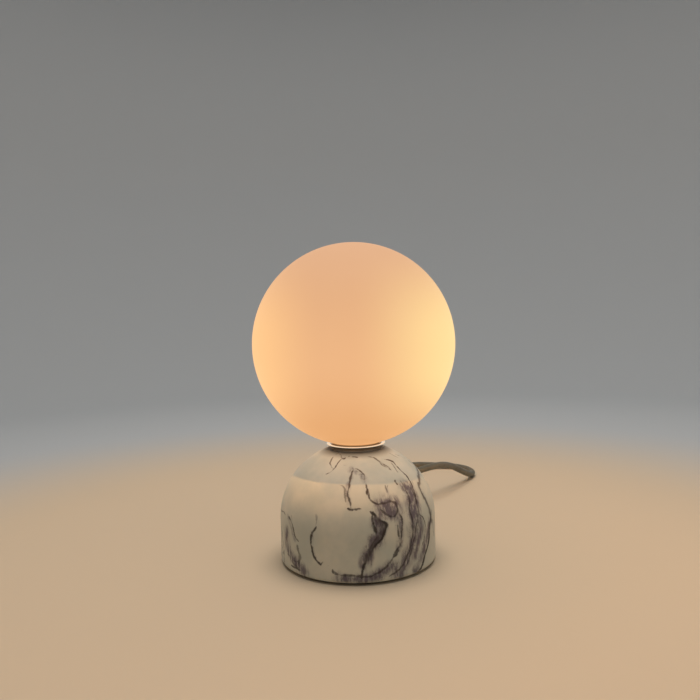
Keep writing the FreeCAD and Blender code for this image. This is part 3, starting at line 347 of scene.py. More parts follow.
# ---------------------------------------------------------------- marble: where its veins run
# Each vein: half width in millimetres, darkness, softness (0 a crisp line, 1 a cloud), and its
# points in pixels of the photograph. The camera carries them onto the stone.
seen_veins = {
    "rim_curl_outer": (0.35, 0.75, 0, [(339, 452), (334, 456), (331, 461), (330, 465), (333, 470)]),
    "rim_curl_inner": (0.40, 0.85, 0, [(343, 458), (339, 461), (336, 465), (333, 469), (330, 472),
                                       (325, 474)]),
    "rim_curl_cross": (0.30, 0.60, 0, [(345, 458), (341, 457), (338, 453)]),
    "rim_tick_left": (0.50, 0.90, 0, [(340, 457), (343, 459), (346, 458)]),
    "rim_dash_short": (0.40, 0.80, 0, [(348, 457), (351, 456)]),
    "rim_dash_long": (0.50, 0.95, 0, [(352, 457), (355, 457), (358, 457)]),
    "loop_crown": (0.42, 0.85, 0, [(343, 465), (349, 466), (354, 468), (358, 469), (362, 472), (365, 476),
                                   (365, 482), (366, 487), (368, 492), (370, 498), (375, 503), (380, 504)]),
    "loop_crown_cloud": (3.0, 0.55, 1, [(352, 470), (357, 473), (362, 476), (364, 481)]),
    "loop_left": (0.45, 0.80, 0, [(355, 469), (351, 474), (349, 480), (349, 485), (348, 491), (348, 497),
                                  (350, 502), (351, 506), (352, 508), (356, 509), (361, 509)]),
    "loop_left_cloud": (2.2, 0.50, 1, [(351, 476), (348, 484), (347, 494), (349, 503)]),
    "loop_left_fringe": (0.45, 0.55, 0, [(339, 485), (343, 486), (345, 490), (345, 496), (346, 502)]),
    "loop_foot": (0.55, 0.95, 0, [(348, 508), (350, 509), (355, 509)]),
    "loop_knot": (0.75, 0.95, 0, [(367, 489), (367, 494)]),
    "sweep_inner": (0.80, 0.95, 0, [(370, 512), (374, 515), (378, 520), (383, 523), (386, 525), (385, 530),
                                   (383, 536), (379, 542), (374, 548), (370, 553), (367, 558)]),
    "sweep_outer": (0.60, 0.90, 0, [(371, 515), (373, 523), (376, 531), (377, 537), (374, 543), (370, 551),
                                    (367, 558), (365, 564), (363, 570), (361, 578)]),
    "sweep_fill": (1.25, 0.50, 0, [(374, 517), (379, 523), (382, 529), (379, 537), (374, 545), (369, 554),
                                  (365, 563)]),
    "sweep_cloud": (4.6, 1.0, 1, [(376, 521), (381, 528), (380, 535), (375, 543), (369, 553), (364, 566)]),
    "purple_patch": (6.6, 1.0, 1, [(381, 507), (388, 506), (394, 508), (392, 512), (385, 511)]),
    "patch_edge": (0.6, 0.70, 0, [(378, 504), (385, 503), (390, 501), (396, 504), (398, 511), (394, 516),
                                  (386, 514), (380, 510)]),
    "patch_down_left": (0.50, 0.80, 0, [(396, 515), (397, 523), (398, 531), (400, 541), (399, 548),
                                        (396, 552)]),
    "patch_down_right": (0.45, 0.75, 0, [(400, 514), (402, 522), (402, 531), (401, 542), (400, 549)]),
    "patch_down_cloud": (3.4, 0.70, 1, [(398, 514), (400, 525), (401, 537), (399, 550)]),
    "patch_knot": (1.1, 0.90, 0, [(399, 548), (397, 552), (394, 557)]),
    "patch_foot": (0.55, 0.70, 0, [(400, 550), (396, 553), (393, 558), (389, 564), (384, 569), (378, 573),
                                   (370, 576), (360, 576), (349, 576), (339, 575), (333, 571)]),
    "foot_cloud": (4.2, 0.90, 1, [(390, 566), (380, 573), (368, 578), (354, 580), (340, 578)]),
    "band_left": (0.55, 0.70, 0, [(405, 489), (408, 496), (410, 504), (410, 512), (412, 520), (413, 530),
                                  (412, 540), (410, 549), (407, 557), (403, 564), (397, 571), (389, 577)]),
    "band_cloud": (5.8, 1.0, 1, [(407, 488), (411, 498), (413, 510), (415, 524), (414, 538), (411, 550),
                                  (407, 561), (400, 571)]),
    "band_right": (0.50, 0.65, 0, [(410, 484), (413, 491), (415, 499), (417, 508), (418, 515), (416, 527),
                                   (415, 538), (412, 549), (410, 558), (406, 567)]),
    "long_line": (0.42, 0.95, 0, [(385, 459), (392, 461), (397, 466), (403, 472), (408, 478), (412, 484),
                                  (414, 491), (416, 499), (418, 508), (420, 515), (424, 519), (425, 528),
                                  (424, 537), (422, 546)]),
    "long_cloud": (4.0, 0.85, 1, [(411, 486), (415, 497), (418, 510), (421, 526), (419, 542), (415, 556)]),
    "brown_top": (0.50, 0.75, 0, [(368, 457), (374, 458), (379, 461), (383, 464), (388, 467), (391, 471)]),
    "brown_top_lower": (0.45, 0.65, 0, [(373, 458), (378, 461), (382, 465), (387, 468), (390, 470)]),
    "brown_right": (0.35, 0.60, 0, [(390, 461), (394, 466), (397, 471), (399, 474)]),
    "edge_top": (0.35, 0.60, 0, [(389, 453), (395, 456), (399, 458)]),
    "edge_line": (0.35, 0.85, 0, [(395, 454), (402, 457), (409, 461), (413, 465)]),
    "short_tick": (0.60, 0.95, 0, [(395, 480), (396, 482), (398, 485)]),
    "short_tick_tail": (0.40, 0.50, 0, [(400, 481), (403, 485), (405, 489)]),
    "fork_left": (0.40, 0.55, 0, [(385, 484), (386, 488), (387, 492)]),
    "fork_right": (0.35, 0.45, 0, [(389, 484), (387, 488)]),
    "fork_low": (0.40, 0.50, 0, [(390, 494), (389, 498)]),
    "fork_cloud": (2.2, 0.35, 1, [(386, 487), (388, 494), (390, 500)]),
    "right_edge": (0.80, 0.95, 0, [(431, 510), (430, 521), (429, 533), (428, 544), (425, 555), (422, 567),
                                   (418, 573)]),
    "right_edge_cloud": (4.2, 0.90, 1, [(430, 520), (427, 535), (424, 548), (420, 560), (416, 570)]),
    "left_fork": (0.60, 0.85, 0, [(287, 515), (290, 519), (292, 524), (294, 531), (296, 537), (299, 542)]),
    "left_fork_inner": (0.40, 0.50, 0, [(291, 514), (292, 520), (293, 526)]),
    "left_fork_cloud": (2.4, 0.50, 1, [(288, 516), (291, 528), (295, 540)]),
    "left_drip": (0.9, 0.60, 0, [(297, 545), (298, 550), (300, 557), (299, 565)]),
    "left_side_cloud": (4.8, 0.85, 1, [(287, 530), (287, 543), (291, 555), (297, 564), (303, 571)]),
    "left_side": (0.50, 0.50, 0, [(287, 534), (286, 543), (289, 554), (293, 563), (300, 570)]),
    "left_foot": (0.60, 0.80, 0, [(291, 565), (296, 569), (303, 573)]),
    "oval_left": (0.60, 0.90, 0, [(316, 526), (314, 530), (312, 534), (311, 538), (311, 543), (312, 548),
                                  (313, 553), (315, 558), (318, 562), (321, 565)]),
    "oval_left_fade": (0.45, 0.40, 0, [(316, 512), (316, 519), (315, 526)]),
    "oval_cloud": (1.6, 0.45, 1, [(312, 532), (312, 545), (315, 557)]),
    "oval_curl": (0.35, 0.70, 0, [(321, 565), (322, 562), (325, 562), (328, 565), (325, 566)]),
    "oval_foot": (0.50, 0.80, 0, [(332, 568), (333, 572), (335, 574), (339, 576)]),
}
# On the sides that the photograph doesn't show, veins wander down from the top: where each starts
# (degrees round from the front, height in millimetres), half width, and its heading from straight down.
hidden_vein_starts = [
    (116, 77, 0.9, 12), (124, 62, 0.6, 10), (131, 79, 1.1, 16), (137, 66, 0.7, -10), (152, 78, 0.9, 22),
    (168, 61, 0.5, -24), (186, 80, 0.8, 14), (205, 72, 0.5, -18), (231, 52, 0.8, 26), (252, 64, 0.4, -12),
    (268, 46, 0.7, 18), (143, 45, 0.6, -30), (178, 38, 0.7, 20), (122, 42, 0.9, 8), (283, 30, 0.5, 10),
]
vein_seed = 11
vein_step = 4.0 * MM
vein_turn, vein_calm = 17, 0.93      # degrees that a step turns by, and the share of its lean a vein keeps
least_turning_radius = 15 * MM
shoulder_height, shoulder_slope, wall_slope = 60 * MM, 0.5, 0.9
hidden_lengths, branch_lengths = (70, 120), (18, 40)
branch_count, branch_lean, branch_width, branch_dark = 3, 48, 0.55, 0.8
halo_width, halo_dark = 3.2, 0.6
vein_wobble = (0.65, 1.3)            # least and most share of its width that a vein has along its way
tip_width, tip_points = 0.45, 4      # share of the width at a line's tip, and how soon it fills out
vein_reach = 4.5                     # in half widths: beyond it a vein leaves no trace
# where the camera's lines of sight are searched for the stone, in metres
sight_near, sight_far, sight_steps, sight_halvings = 0.42, 0.56, 281, 16


def stone_radius_at(z):
    """The radius of the stone's outside at a height."""
    rise = max(0.0, min(1.0, (z - wall_top) / dome_rise))
    return stone_radius * math.sqrt(1 - rise * rise)


def on_stone(pixel):
    """Where the line of sight through a pixel first meets the stone, or passes nearest to it."""
    way = pixel_ray(pixel)

    def outside(reach):
        p = camera_place + way * reach
        return math.hypot(p.x, p.y) - stone_radius_at(p.z)

    reaches = np.linspace(sight_near, sight_far, sight_steps)
    depths = [outside(t) for t in reaches]
    first = next((k for k, d in enumerate(depths) if d <= 0), None)
    if first is None:
        return camera_place + way * float(reaches[int(np.argmin(depths))])
    near, far = reaches[first - 1], reaches[first]
    for _ in range(sight_halvings):
        middle = (near + far) / 2
        near, far = (middle, far) if outside(middle) > 0 else (near, middle)
    return camera_place + way * float(far)


def round_and_up(angle, height):
    """A point on the stone from degrees round from the front and a height in metres."""
    a = math.radians(angle)
    r = stone_radius_at(height)
    return Vector((r * math.sin(a), -r * math.cos(a), height))


def wandering_vein(draw, angle, height, heading, length):
    """A path over the stone that keeps turning a little."""
    points = []
    for _ in range(int(length / vein_step)):
        points.append(round_and_up(angle, height))
        heading += draw.gauss(0, vein_turn)
        heading *= vein_calm
        r = max(stone_radius_at(height), least_turning_radius)
        lean = math.radians(heading)
        slope = shoulder_slope if height > shoulder_height else wall_slope
        height -= vein_step * math.cos(lean) * slope
        angle += math.degrees(vein_step * math.sin(lean) / r)
        if not stone_bottom < height < stone_top:
            break
    return points


def hidden_veins():
    """The veins of the unseen sides, with branches and clouds: (half width, darkness, softness, points)."""
    draw = random.Random(vein_seed)
    veins = []
    for angle, height, width, heading in hidden_vein_starts:
        path = wandering_vein(draw, angle, height * MM, heading, draw.uniform(*hidden_lengths) * MM)
        if len(path) < 4:
            continue
        dark = draw.uniform(0.6, 1.0)
        veins.append((width, dark, 0, path))
        veins.append((width * halo_width, halo_dark * dark, 1, path))
        for _ in range(branch_count):
            root = path[draw.randrange(1, len(path) - 1)]
            turn = math.degrees(math.atan2(root.x, -root.y))
            branch = wandering_vein(draw, turn, root.z, heading + draw.choice((-branch_lean, branch_lean)),
                                    draw.uniform(*branch_lengths) * MM)
            if len(branch) > 2:
                veins.append((width * branch_width, branch_dark * dark, 0, branch))
    return veins


def smooth_path(points, steps=4):
    """A finer path through the points."""
    ends = [points[0], *points, points[-1]]
    path = []
    for a, b, c, d in zip(ends, ends[1:], ends[2:], ends[3:]):
        for k in range(steps):
            t = k / steps
            path.append(0.5 * (2 * b + (c - a) * t + (2 * a - 5 * b + 4 * c - d) * t * t
                               + (3 * b - a - 3 * c + d) * t ** 3))
    path.append(points[-1])
    return np.array([tuple(p) for p in path])


def nearest(places, path, widths):
    """For each place, the least distance to the path over the width there."""
    best = np.full(len(places), 1e9)
    for a, b, wa, wb in zip(path, path[1:], widths, widths[1:]):
        along = b - a
        share = np.clip((places - a) @ along / max(along @ along, 1e-12), 0, 1)
        gap = np.linalg.norm(places - a - share[:, None] * along, axis=1)
        best = np.minimum(best, gap / (wa + (wb - wa) * share))
    return best


def vein_fields(places):
    """How far inside a vein line each place is, how dark the line is, and how deep in a cloud."""
    level = np.full(len(places), -3.0)
    dark_sum = np.zeros(len(places))
    weight_sum = np.full(len(places), 1e-6)
    cloud = np.zeros(len(places))
    veins = [(w, dark, soft, [on_stone(p) for p in points])
             for w, dark, soft, points in seen_veins.values()] + hidden_veins()
    draw = random.Random(vein_seed + 1)
    for width, dark, soft, points in veins:
        path = smooth_path(points)
        wobble = np.array([draw.uniform(*vein_wobble) for _ in path])
        wobble = np.convolve(np.pad(wobble, 1, mode="edge"), [0.25, 0.5, 0.25], "valid")
        widths = width * MM * wobble
        if not soft:
            ends = np.minimum(np.arange(len(path)), np.arange(len(path))[::-1])
            widths = widths * np.clip(tip_width + ends / tip_points, 0, 1)
        reach = vein_reach * widths.max()
        close = ((places > path.min(0) - reach) & (places < path.max(0) + reach)).all(1)
        if not close.any():
            continue
        ratio = nearest(places[close], path, widths)
        if soft:
            cloud[close] = np.maximum(cloud[close], dark * np.exp(-ratio ** 2))
        else:
            level[close] = np.maximum(level[close], 1 - ratio)
            weight = np.exp(-ratio ** 2)
            dark_sum[close] += dark * weight
            weight_sum[close] += weight
    return level, dark_sum / weight_sum, cloud


def paint_veins(mesh):
    """Keeps the vein fields on the mesh's points, their edges shaken by two sizes of noise."""
    places = np.empty(len(mesh.vertices) * 3)
    mesh.vertices.foreach_get("co", places)
    places = places.reshape(-1, 3)
    shaken = places.copy()
    noise.seed_set(vein_seed)
    for size, strength in ((9 * MM, 1.1 * MM), (2.6 * MM, 0.45 * MM)):
        shaken += strength * np.array([tuple(noise.noise_vector(Vector(p) / size)) for p in places])
    for name, values in zip(("vein_level", "vein_dark", "vein_cloud"), vein_fields(shaken)):
        attribute = mesh.attributes.new(name, "FLOAT", "POINT")
        attribute.data.foreach_set("value", values.astype(np.float32))


# ---------------------------------------------------------------- marble: finish and shape
def marble_material():
    material, tree, shader = new_material(
        "polished_veined_marble", ior=1.5, specular_ior_level=0.2, subsurface_weight=0.15,
        subsurface_scale=0.004, subsurface_radius=(1.0, 0.8, 0.6))
    place = object_place(tree)
    field = {name: add(tree, "ShaderNodeAttribute", attribute_name=name).outputs["Fac"]
             for name in ("vein_level", "vein_dark", "vein_cloud")}
    slow = cloudy(tree, place, 26 * MM, 4.0)
    streak = cloudy(tree, place, 2.6 * MM, 6.0, (1, 1, 0.28))
    fine = cloudy(tree, place, 1.1 * MM, 5.0)
    body = blended(tree, ramp(tree, slow, 0.32, 0.68), (0.66, 0.62, 0.505), (0.53, 0.53, 0.445))
    # soft clouds beside the veins, streaked along the way they run
    depth = maths(tree, "MULTIPLY", field["vein_cloud"],
                  ramp(tree, streak, 0.28, 0.72, 0.45, 1.25))
    cloud = ramp(tree, depth, 0.05, 0.95)
    body = blended(tree, cloud, body, (0.150, 0.125, 0.140))
    # faint hairlines in and near the clouds
    folds = cloudy(tree, place, 7 * MM, 7.0, (1, 1, 0.6))
    lines = maths(tree, "ABSOLUTE", maths(tree, "SUBTRACT", folds, 0.5))
    hair = maths(tree, "MULTIPLY", ramp(tree, lines, 0.0, 0.018, 1.0, 0.0), ramp(tree, depth, 0.1, 0.5))
    body = blended(tree, maths(tree, "MULTIPLY", hair, 0.5), body, (0.09, 0.075, 0.08))
    # the dark lines, with ragged edges
    ragged = maths(tree, "MULTIPLY", maths(tree, "SUBTRACT", fine, 0.5), 1.5)
    edge = maths(tree, "ADD", field["vein_level"], ragged)
    line = maths(tree, "MULTIPLY", ramp(tree, edge, -1.1, 0.3), field["vein_dark"])
    height = add(tree, "ShaderNodeSeparateXYZ", {0: place}).outputs[2]
    ink = blended(tree, ramp(tree, height, 0.045, 0.075), (0.032, 0.024, 0.022), (0.062, 0.026, 0.014))
    inked = blended(tree, line, body, ink)
    # the cup and the ball shade the stone close to the rim
    near_rim = maths(tree, "MULTIPLY", ramp(tree, from_axis(tree, place), 22.0 * MM, 29.5 * MM, 0.72, 0.0),
                     ramp(tree, height, stone_top - 14 * MM, stone_top - 9 * MM))
    shaded = blended(tree, near_rim, inked, (0.10, 0.085, 0.065))
    tree.links.new(shaded, shader.inputs["Base Color"])
    stained = maths(tree, "MAXIMUM", line, maths(tree, "MULTIPLY", cloud, 0.5))
    gloss = ramp(tree, stained, 0.0, 1.0, 0.36, 0.48)
    tree.links.new(gloss, shader.inputs["Roughness"])
    worn = maths(tree, "SUBTRACT", maths(tree, "MULTIPLY", slow, 0.4), maths(tree, "MULTIPLY", line, 0.5))
    raise_bump(tree, shader, worn, 0.03 * MM)
    return material


def stone_profile():
    """The stone's outline: from the recess, out over the foot, up the wall and dome, and down inside."""
    foot, brim = 2.2 * MM, 1.0 * MM
    recess_radius, recess_ceiling = 38 * MM, 28 * MM
    rebate_radius, rebate_top = 41 * MM, stone_bottom + 1.8 * MM
    pocket_radius = cup_seat_radius + 0.3 * MM
    pocket_floor = cup_low.z - 1.0 * MM
    tube_bore = 5.3 * MM
    rings_over_foot, rings_up_wall, rings_over_dome = 12, 42, 100
    points = [(rebate_radius, rebate_top), (rebate_radius, stone_bottom)]
    points += divided((rebate_radius, stone_bottom), (stone_radius - foot, stone_bottom), rings_over_foot)[1:]
    points += rounded((stone_radius - foot, stone_bottom + foot), foot, -90, 0, 6)
    points += divided((stone_radius, stone_bottom + foot), (stone_radius, wall_top), rings_up_wall)[1:]
    last = math.acos(top_flat_radius / stone_radius)
    # the rings are closest where the dome is steepest to the eye
    for k in range(rings_over_dome):
        t = last * k / rings_over_dome
        points.append((stone_radius * math.cos(t), wall_top + dome_rise * math.sin(t)))
    points += eased((top_flat_radius + 0.5 * brim, stone_top - 0.45 * brim),
                    (top_flat_radius - 0.2 * brim, stone_top), (top_flat_radius - brim, stone_top), 5)
    points += [(pocket_radius, stone_top), (pocket_radius, pocket_floor), (tube_bore, pocket_floor),
               (tube_bore, recess_ceiling), (recess_radius, recess_ceiling), (recess_radius, rebate_top)]
    return points


def make_stone(finish):
    mesh = turned_mesh("marble_dome", stone_profile(), stone_segments)
    stone = place_mesh("marble_dome", mesh)
    # the rear bore that the strain relief passes through
    bore_radius, bore_length, bore_middle, bore_sides = 5.05 * MM, 30 * MM, 50 * MM, 48
    cutter_mesh = bpy.data.meshes.new("bore")
    shape = bmesh.new()
    placed = Matrix.Translation((0, bore_middle, exit_height)) @ Matrix.Rotation(math.pi / 2, 4, "X")
    bmesh.ops.create_cone(shape, cap_ends=True, segments=bore_sides, radius1=bore_radius,
                          radius2=bore_radius, depth=bore_length, matrix=placed)
    shape.to_mesh(cutter_mesh)
    shape.free()
    cutter = bpy.data.objects.new("bore", cutter_mesh)
    bpy.context.scene.collection.objects.link(cutter)
    cut = stone.modifiers.new("bore", "BOOLEAN")
    cut.operation, cut.solver, cut.object = "DIFFERENCE", "EXACT", cutter
    bpy.context.view_layer.update()
    result = bpy.data.meshes.new_from_object(stone.evaluated_get(bpy.context.evaluated_depsgraph_get()))
    bpy.data.objects.remove(stone)
    bpy.data.objects.remove(cutter)
    paint_veins(result)
    stone = place_mesh("marble_dome", result, 32)
    stone.data.materials.clear()
    stone.data.materials.append(finish)
    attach(stone, "base")
    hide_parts("marble_base")


# ---------------------------------------------------------------- globe
def glass_material():
    """Satin opal glass lit from within: peach in the middle, warm and bright towards both sides."""
    material, tree, shader = new_material("satin_opal_glass", roughness=0.42, ior=1.45,
                                          emission_strength=1.0, specular_ior_level=0.35)
    centred = add(tree, "ShaderNodeMapping", {
        "Vector": object_place(tree), "Scale": (1 / globe_radius,) * 3,
        "Location": tuple(-globe_centre / globe_radius)})
    parts = add(tree, "ShaderNodeSeparateXYZ", {0: centred.outputs[0]})
    across, up = parts.outputs[0], parts.outputs[2]
    glow = blended(tree, ramp(tree, up, -0.15, 1.0), (0.80, 0.43, 0.205), (0.66, 0.345, 0.175))
    glow = blended(tree, ramp(tree, up, -0.1, -1.0), glow, (0.70, 0.335, 0.125))
    level = maths(tree, "MULTIPLY", ramp(tree, up, 1.0, 0.05), ramp(tree, up, -1.0, -0.2))
    right = maths(tree, "MULTIPLY", ramp(tree, across, -0.05, 0.92), level)
    left = maths(tree, "MULTIPLY", ramp(tree, across, -0.25, -0.95), level)
    glow = blended(tree, right, glow, (1.0, 0.70, 0.30))
    glow = blended(tree, left, glow, (0.97, 0.55, 0.235))
    # the foot stands in the cup, where little light comes through
    foot = ramp(tree, up, -0.984, -0.964, 0.85, 0.0)
    tree.links.new(blended(tree, foot, glow, (0.03, 0.012, 0.004)), shader.inputs["Emission Color"])
    milky = cloudy(tree, centred.outputs[0], 0.8, 2.0)
    body = blended(tree, milky, (0.165, 0.135, 0.105), (0.145, 0.12, 0.09))
    tree.links.new(body, shader.inputs["Base Color"])
    grain = add_group(tree, surface_grain, {"Place": object_place(tree), "Grains Per Metre": 2600.0})
    raise_bump(tree, shader, grain.outputs["Height"], 0.012 * MM)
    return material


def make_globe(finish):
    neck_radius, neck_wall, neck_round, wall = 17.0 * MM, 2.4 * MM, 3.0 * MM, 3.0 * MM
    bore = neck_radius - neck_wall
    centre, r, inside = globe_centre.z, globe_radius, globe_radius - wall
    root_reach = neck_radius + neck_round
    root = (root_reach, centre - math.sqrt((r + neck_round) ** 2 - root_reach ** 2))
    lean = math.degrees(math.atan2(centre - root[1], -root[0]))
    first = math.degrees(math.atan2(root[1] - centre, root[0]))
    mouth = math.degrees(math.atan2(-math.sqrt(inside ** 2 - bore ** 2), bore))
    points = [(bore, glass_low.z), (neck_radius, glass_low.z)]
    points += rounded(root, neck_round, 180, lean, 6)
    points += rounded((0, centre), r, first, 90, 110)[1:-1] + [(0.0, centre + r), (0.0, centre + inside)]
    points += rounded((0, centre), inside, 90, mouth, 60)[1:]
    mesh = turned_mesh("opal_globe", points, globe_segments)
    globe = place_mesh("opal_globe", mesh, 40)
    globe.data.materials.append(finish)
    globe.visible_shadow = False
    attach(globe, "globe")
    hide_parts("globe", "globe_foot")


# ---------------------------------------------------------------- cup
nickel = {"colour": (0.76, 0.71, 0.64), "second_colour": (0.70, 0.66, 0.60), "smooth": 0.07, "rough": 0.15,
          "depth": 0.004 * MM, "patches": 60, "turned": True, "metallic": 1.0}


def painted_highlight_rim_material():
    """Polished nickel whose turned lip carries a painted highlight: a cream glow along the top of the lip."""
    material = plain_finish("polished_nickel_painted_highlight_rim", emission_strength=0.5, **nickel)
    tree = material.node_tree
    height = add(tree, "ShaderNodeSeparateXYZ", {0: object_place(tree)}).outputs[2]
    # painted highlight: the top of the lip glows cream in the emission colour, whatever light falls there
    lip = ramp(tree, height, cup_high.z - 0.8 * MM, cup_high.z - 0.4 * MM)
    lit = blended(tree, lip, (0.0, 0.0, 0.0), (1.0, 0.84, 0.62))
    tree.links.new(lit, tree.nodes["Principled BSDF"].inputs["Emission Color"])
    return material


def make_cup(finish):
    """The spun cup: flat floor, straight wall and a rim that flares out just under the glass."""
    wall, corner, hole = 0.9 * MM, 2.0 * MM, 5.3 * MM
    out, inn, rim = cup_seat_radius, cup_seat_radius - wall, cup_high.x
    low, floor, top = cup_low.z, cup_low.z + wall, cup_high.z
    flare = stone_top + 0.3 * MM
    tip = rim - wall / 2
    points = [(hole, low)]
    points += rounded((out - corner, low + corner), corner, -90, 0, 6)
    points += eased((out, flare), (out, top - wall), (tip, top - wall), 12)
    points += rounded((tip, top - wall / 2), wall / 2, -90, 90, 8)[1:]
    points += eased((tip, top), (inn, top), (inn, flare), 12)[1:]
    points += rounded((inn - corner + wall, floor + corner - wall), corner - wall, 0, -90, 5)
    points.append((hole, floor))
    mesh = turned_mesh("spun_cup", points, cup_segments)
    cup = place_mesh("spun_cup", mesh, 40)
    cup.data.materials.append(finish)
    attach(cup, "base")
    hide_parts("holder_cup")


# ---------------------------------------------------------------- cords
# The route from the base to the switch, point by point in millimetres
switch_centre = Vector((18.0, 244.0, 9.3))
switch_turn = math.radians(23.0)
sleeve_reach = 34.0


def on_switch_axis(reach):
    return (switch_centre.x + reach * math.cos(switch_turn), switch_centre.y + reach * math.sin(switch_turn),
            switch_centre.z)


run_route = [
    (0.0, 84.0, 12.0), (0.0, 100.0, 12.0), (8.0, 118.0, 16.0), (24.0, 130.0, 22.5), (42.0, 138.0, 27.0),
    (63.0, 149.0, 30.5), (83.0, 169.0, 30.5), (98.0, 192.0, 24.0), (112.0, 213.0, 13.0), (124.0, 230.0, 4.6),
    (130.0, 249.0, 3.3), (124.0, 270.0, 3.3), (105.5, 283.0, 3.3), (83.0, 281.0, 5.0),
    on_switch_axis(sleeve_reach + 20.0), on_switch_axis(sleeve_reach),
]
coil_centre = Vector((-3.0, 166.0, 4.15))
coil_radius, coil_pitch, coil_layer, coil_turns = 46.0, 7.0, 7.0, 4.4
points_per_turn = 24
coil_start = (coil_centre.x - coil_radius, coil_centre.y + cord_width, coil_centre.z)
coil_end_angle = math.pi + 2 * math.pi * coil_turns
coil_end_way = Vector((-math.sin(coil_end_angle), math.cos(coil_end_angle), 0))
coil_end = (coil_centre + coil_radius * Vector((math.cos(coil_end_angle), math.sin(coil_end_angle), 0))
            + coil_end_way * cord_width + Vector((0, 0, coil_layer)))
lead_route = [
    on_switch_axis(-sleeve_reach), on_switch_axis(-sleeve_reach - 15.0), (-42.5, 209.0, 4.5),
    (-49.0, 190.0, coil_centre.z), coil_start,
]
end_route = [
    coil_end, coil_end + coil_end_way * 11.0, (47.3, 163.7, 12.0), (46.1, 174.6, 14.0), (41.1, 184.4, 16.9),
    (32.9, 191.8, 19.8), (22.6, 195.7, 21.5), (11.6, 195.7, 21.5),
]


def coil_points():
    """Points round the coil: inwards on the lower layer, up in the half turn where it reverses, outwards."""
    turns_in = (coil_turns - 0.5) / 2
    # a smooth curve runs a little inside its points, so these stand that much further out
    outset = 1 / math.cos(math.pi / points_per_turn)
    steps = round(coil_turns * points_per_turn)
    points = []
    for k in range(steps + 1):
        turn = coil_turns * k / steps
        climb = min(max((turn - turns_in) / 0.5, 0.0), 1.0)
        lift = climb - math.sin(2 * math.pi * climb) / (2 * math.pi)
        radius = (coil_radius - coil_pitch * min(turn, coil_turns - turn)) * outset
        angle = math.pi + 2 * math.pi * turn
        points.append(coil_centre + Vector((radius * math.cos(angle), radius * math.sin(angle),
                                            coil_layer * lift)))
    return points


def cord_curve(name, points, finish):
    """A round cord along one smooth curve with those points as its control points."""
    data = bpy.data.curves.new(name, "CURVE")
    data.dimensions = "3D"
    data.bevel_depth = cord_radius
    data.bevel_resolution = 6
    data.resolution_u = 8
    data.use_fill_caps = True
    spline = data.splines.new("NURBS")
    spline.points.add(len(points) - 1)
    for control, place in zip(spline.points, points):
        control.co = (*(v * MM for v in place), 1.0)
    spline.order_u = 3
    spline.use_endpoint_u = True
    data.materials.append(finish)
    cord = bpy.data.objects.new(name, data)
    bpy.context.scene.collection.objects.link(cord)
    return cord


def make_cords(finish):
    run = cord_curve("cord_to_switch", run_route, finish)
    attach(run, "base")
    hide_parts("cord_run")
    rest = cord_curve("cord_coil_to_plug", lead_route + coil_points() + end_route, finish)
    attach(rest, "base")
    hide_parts("cord_lead", "cord_coil", "cord_end")


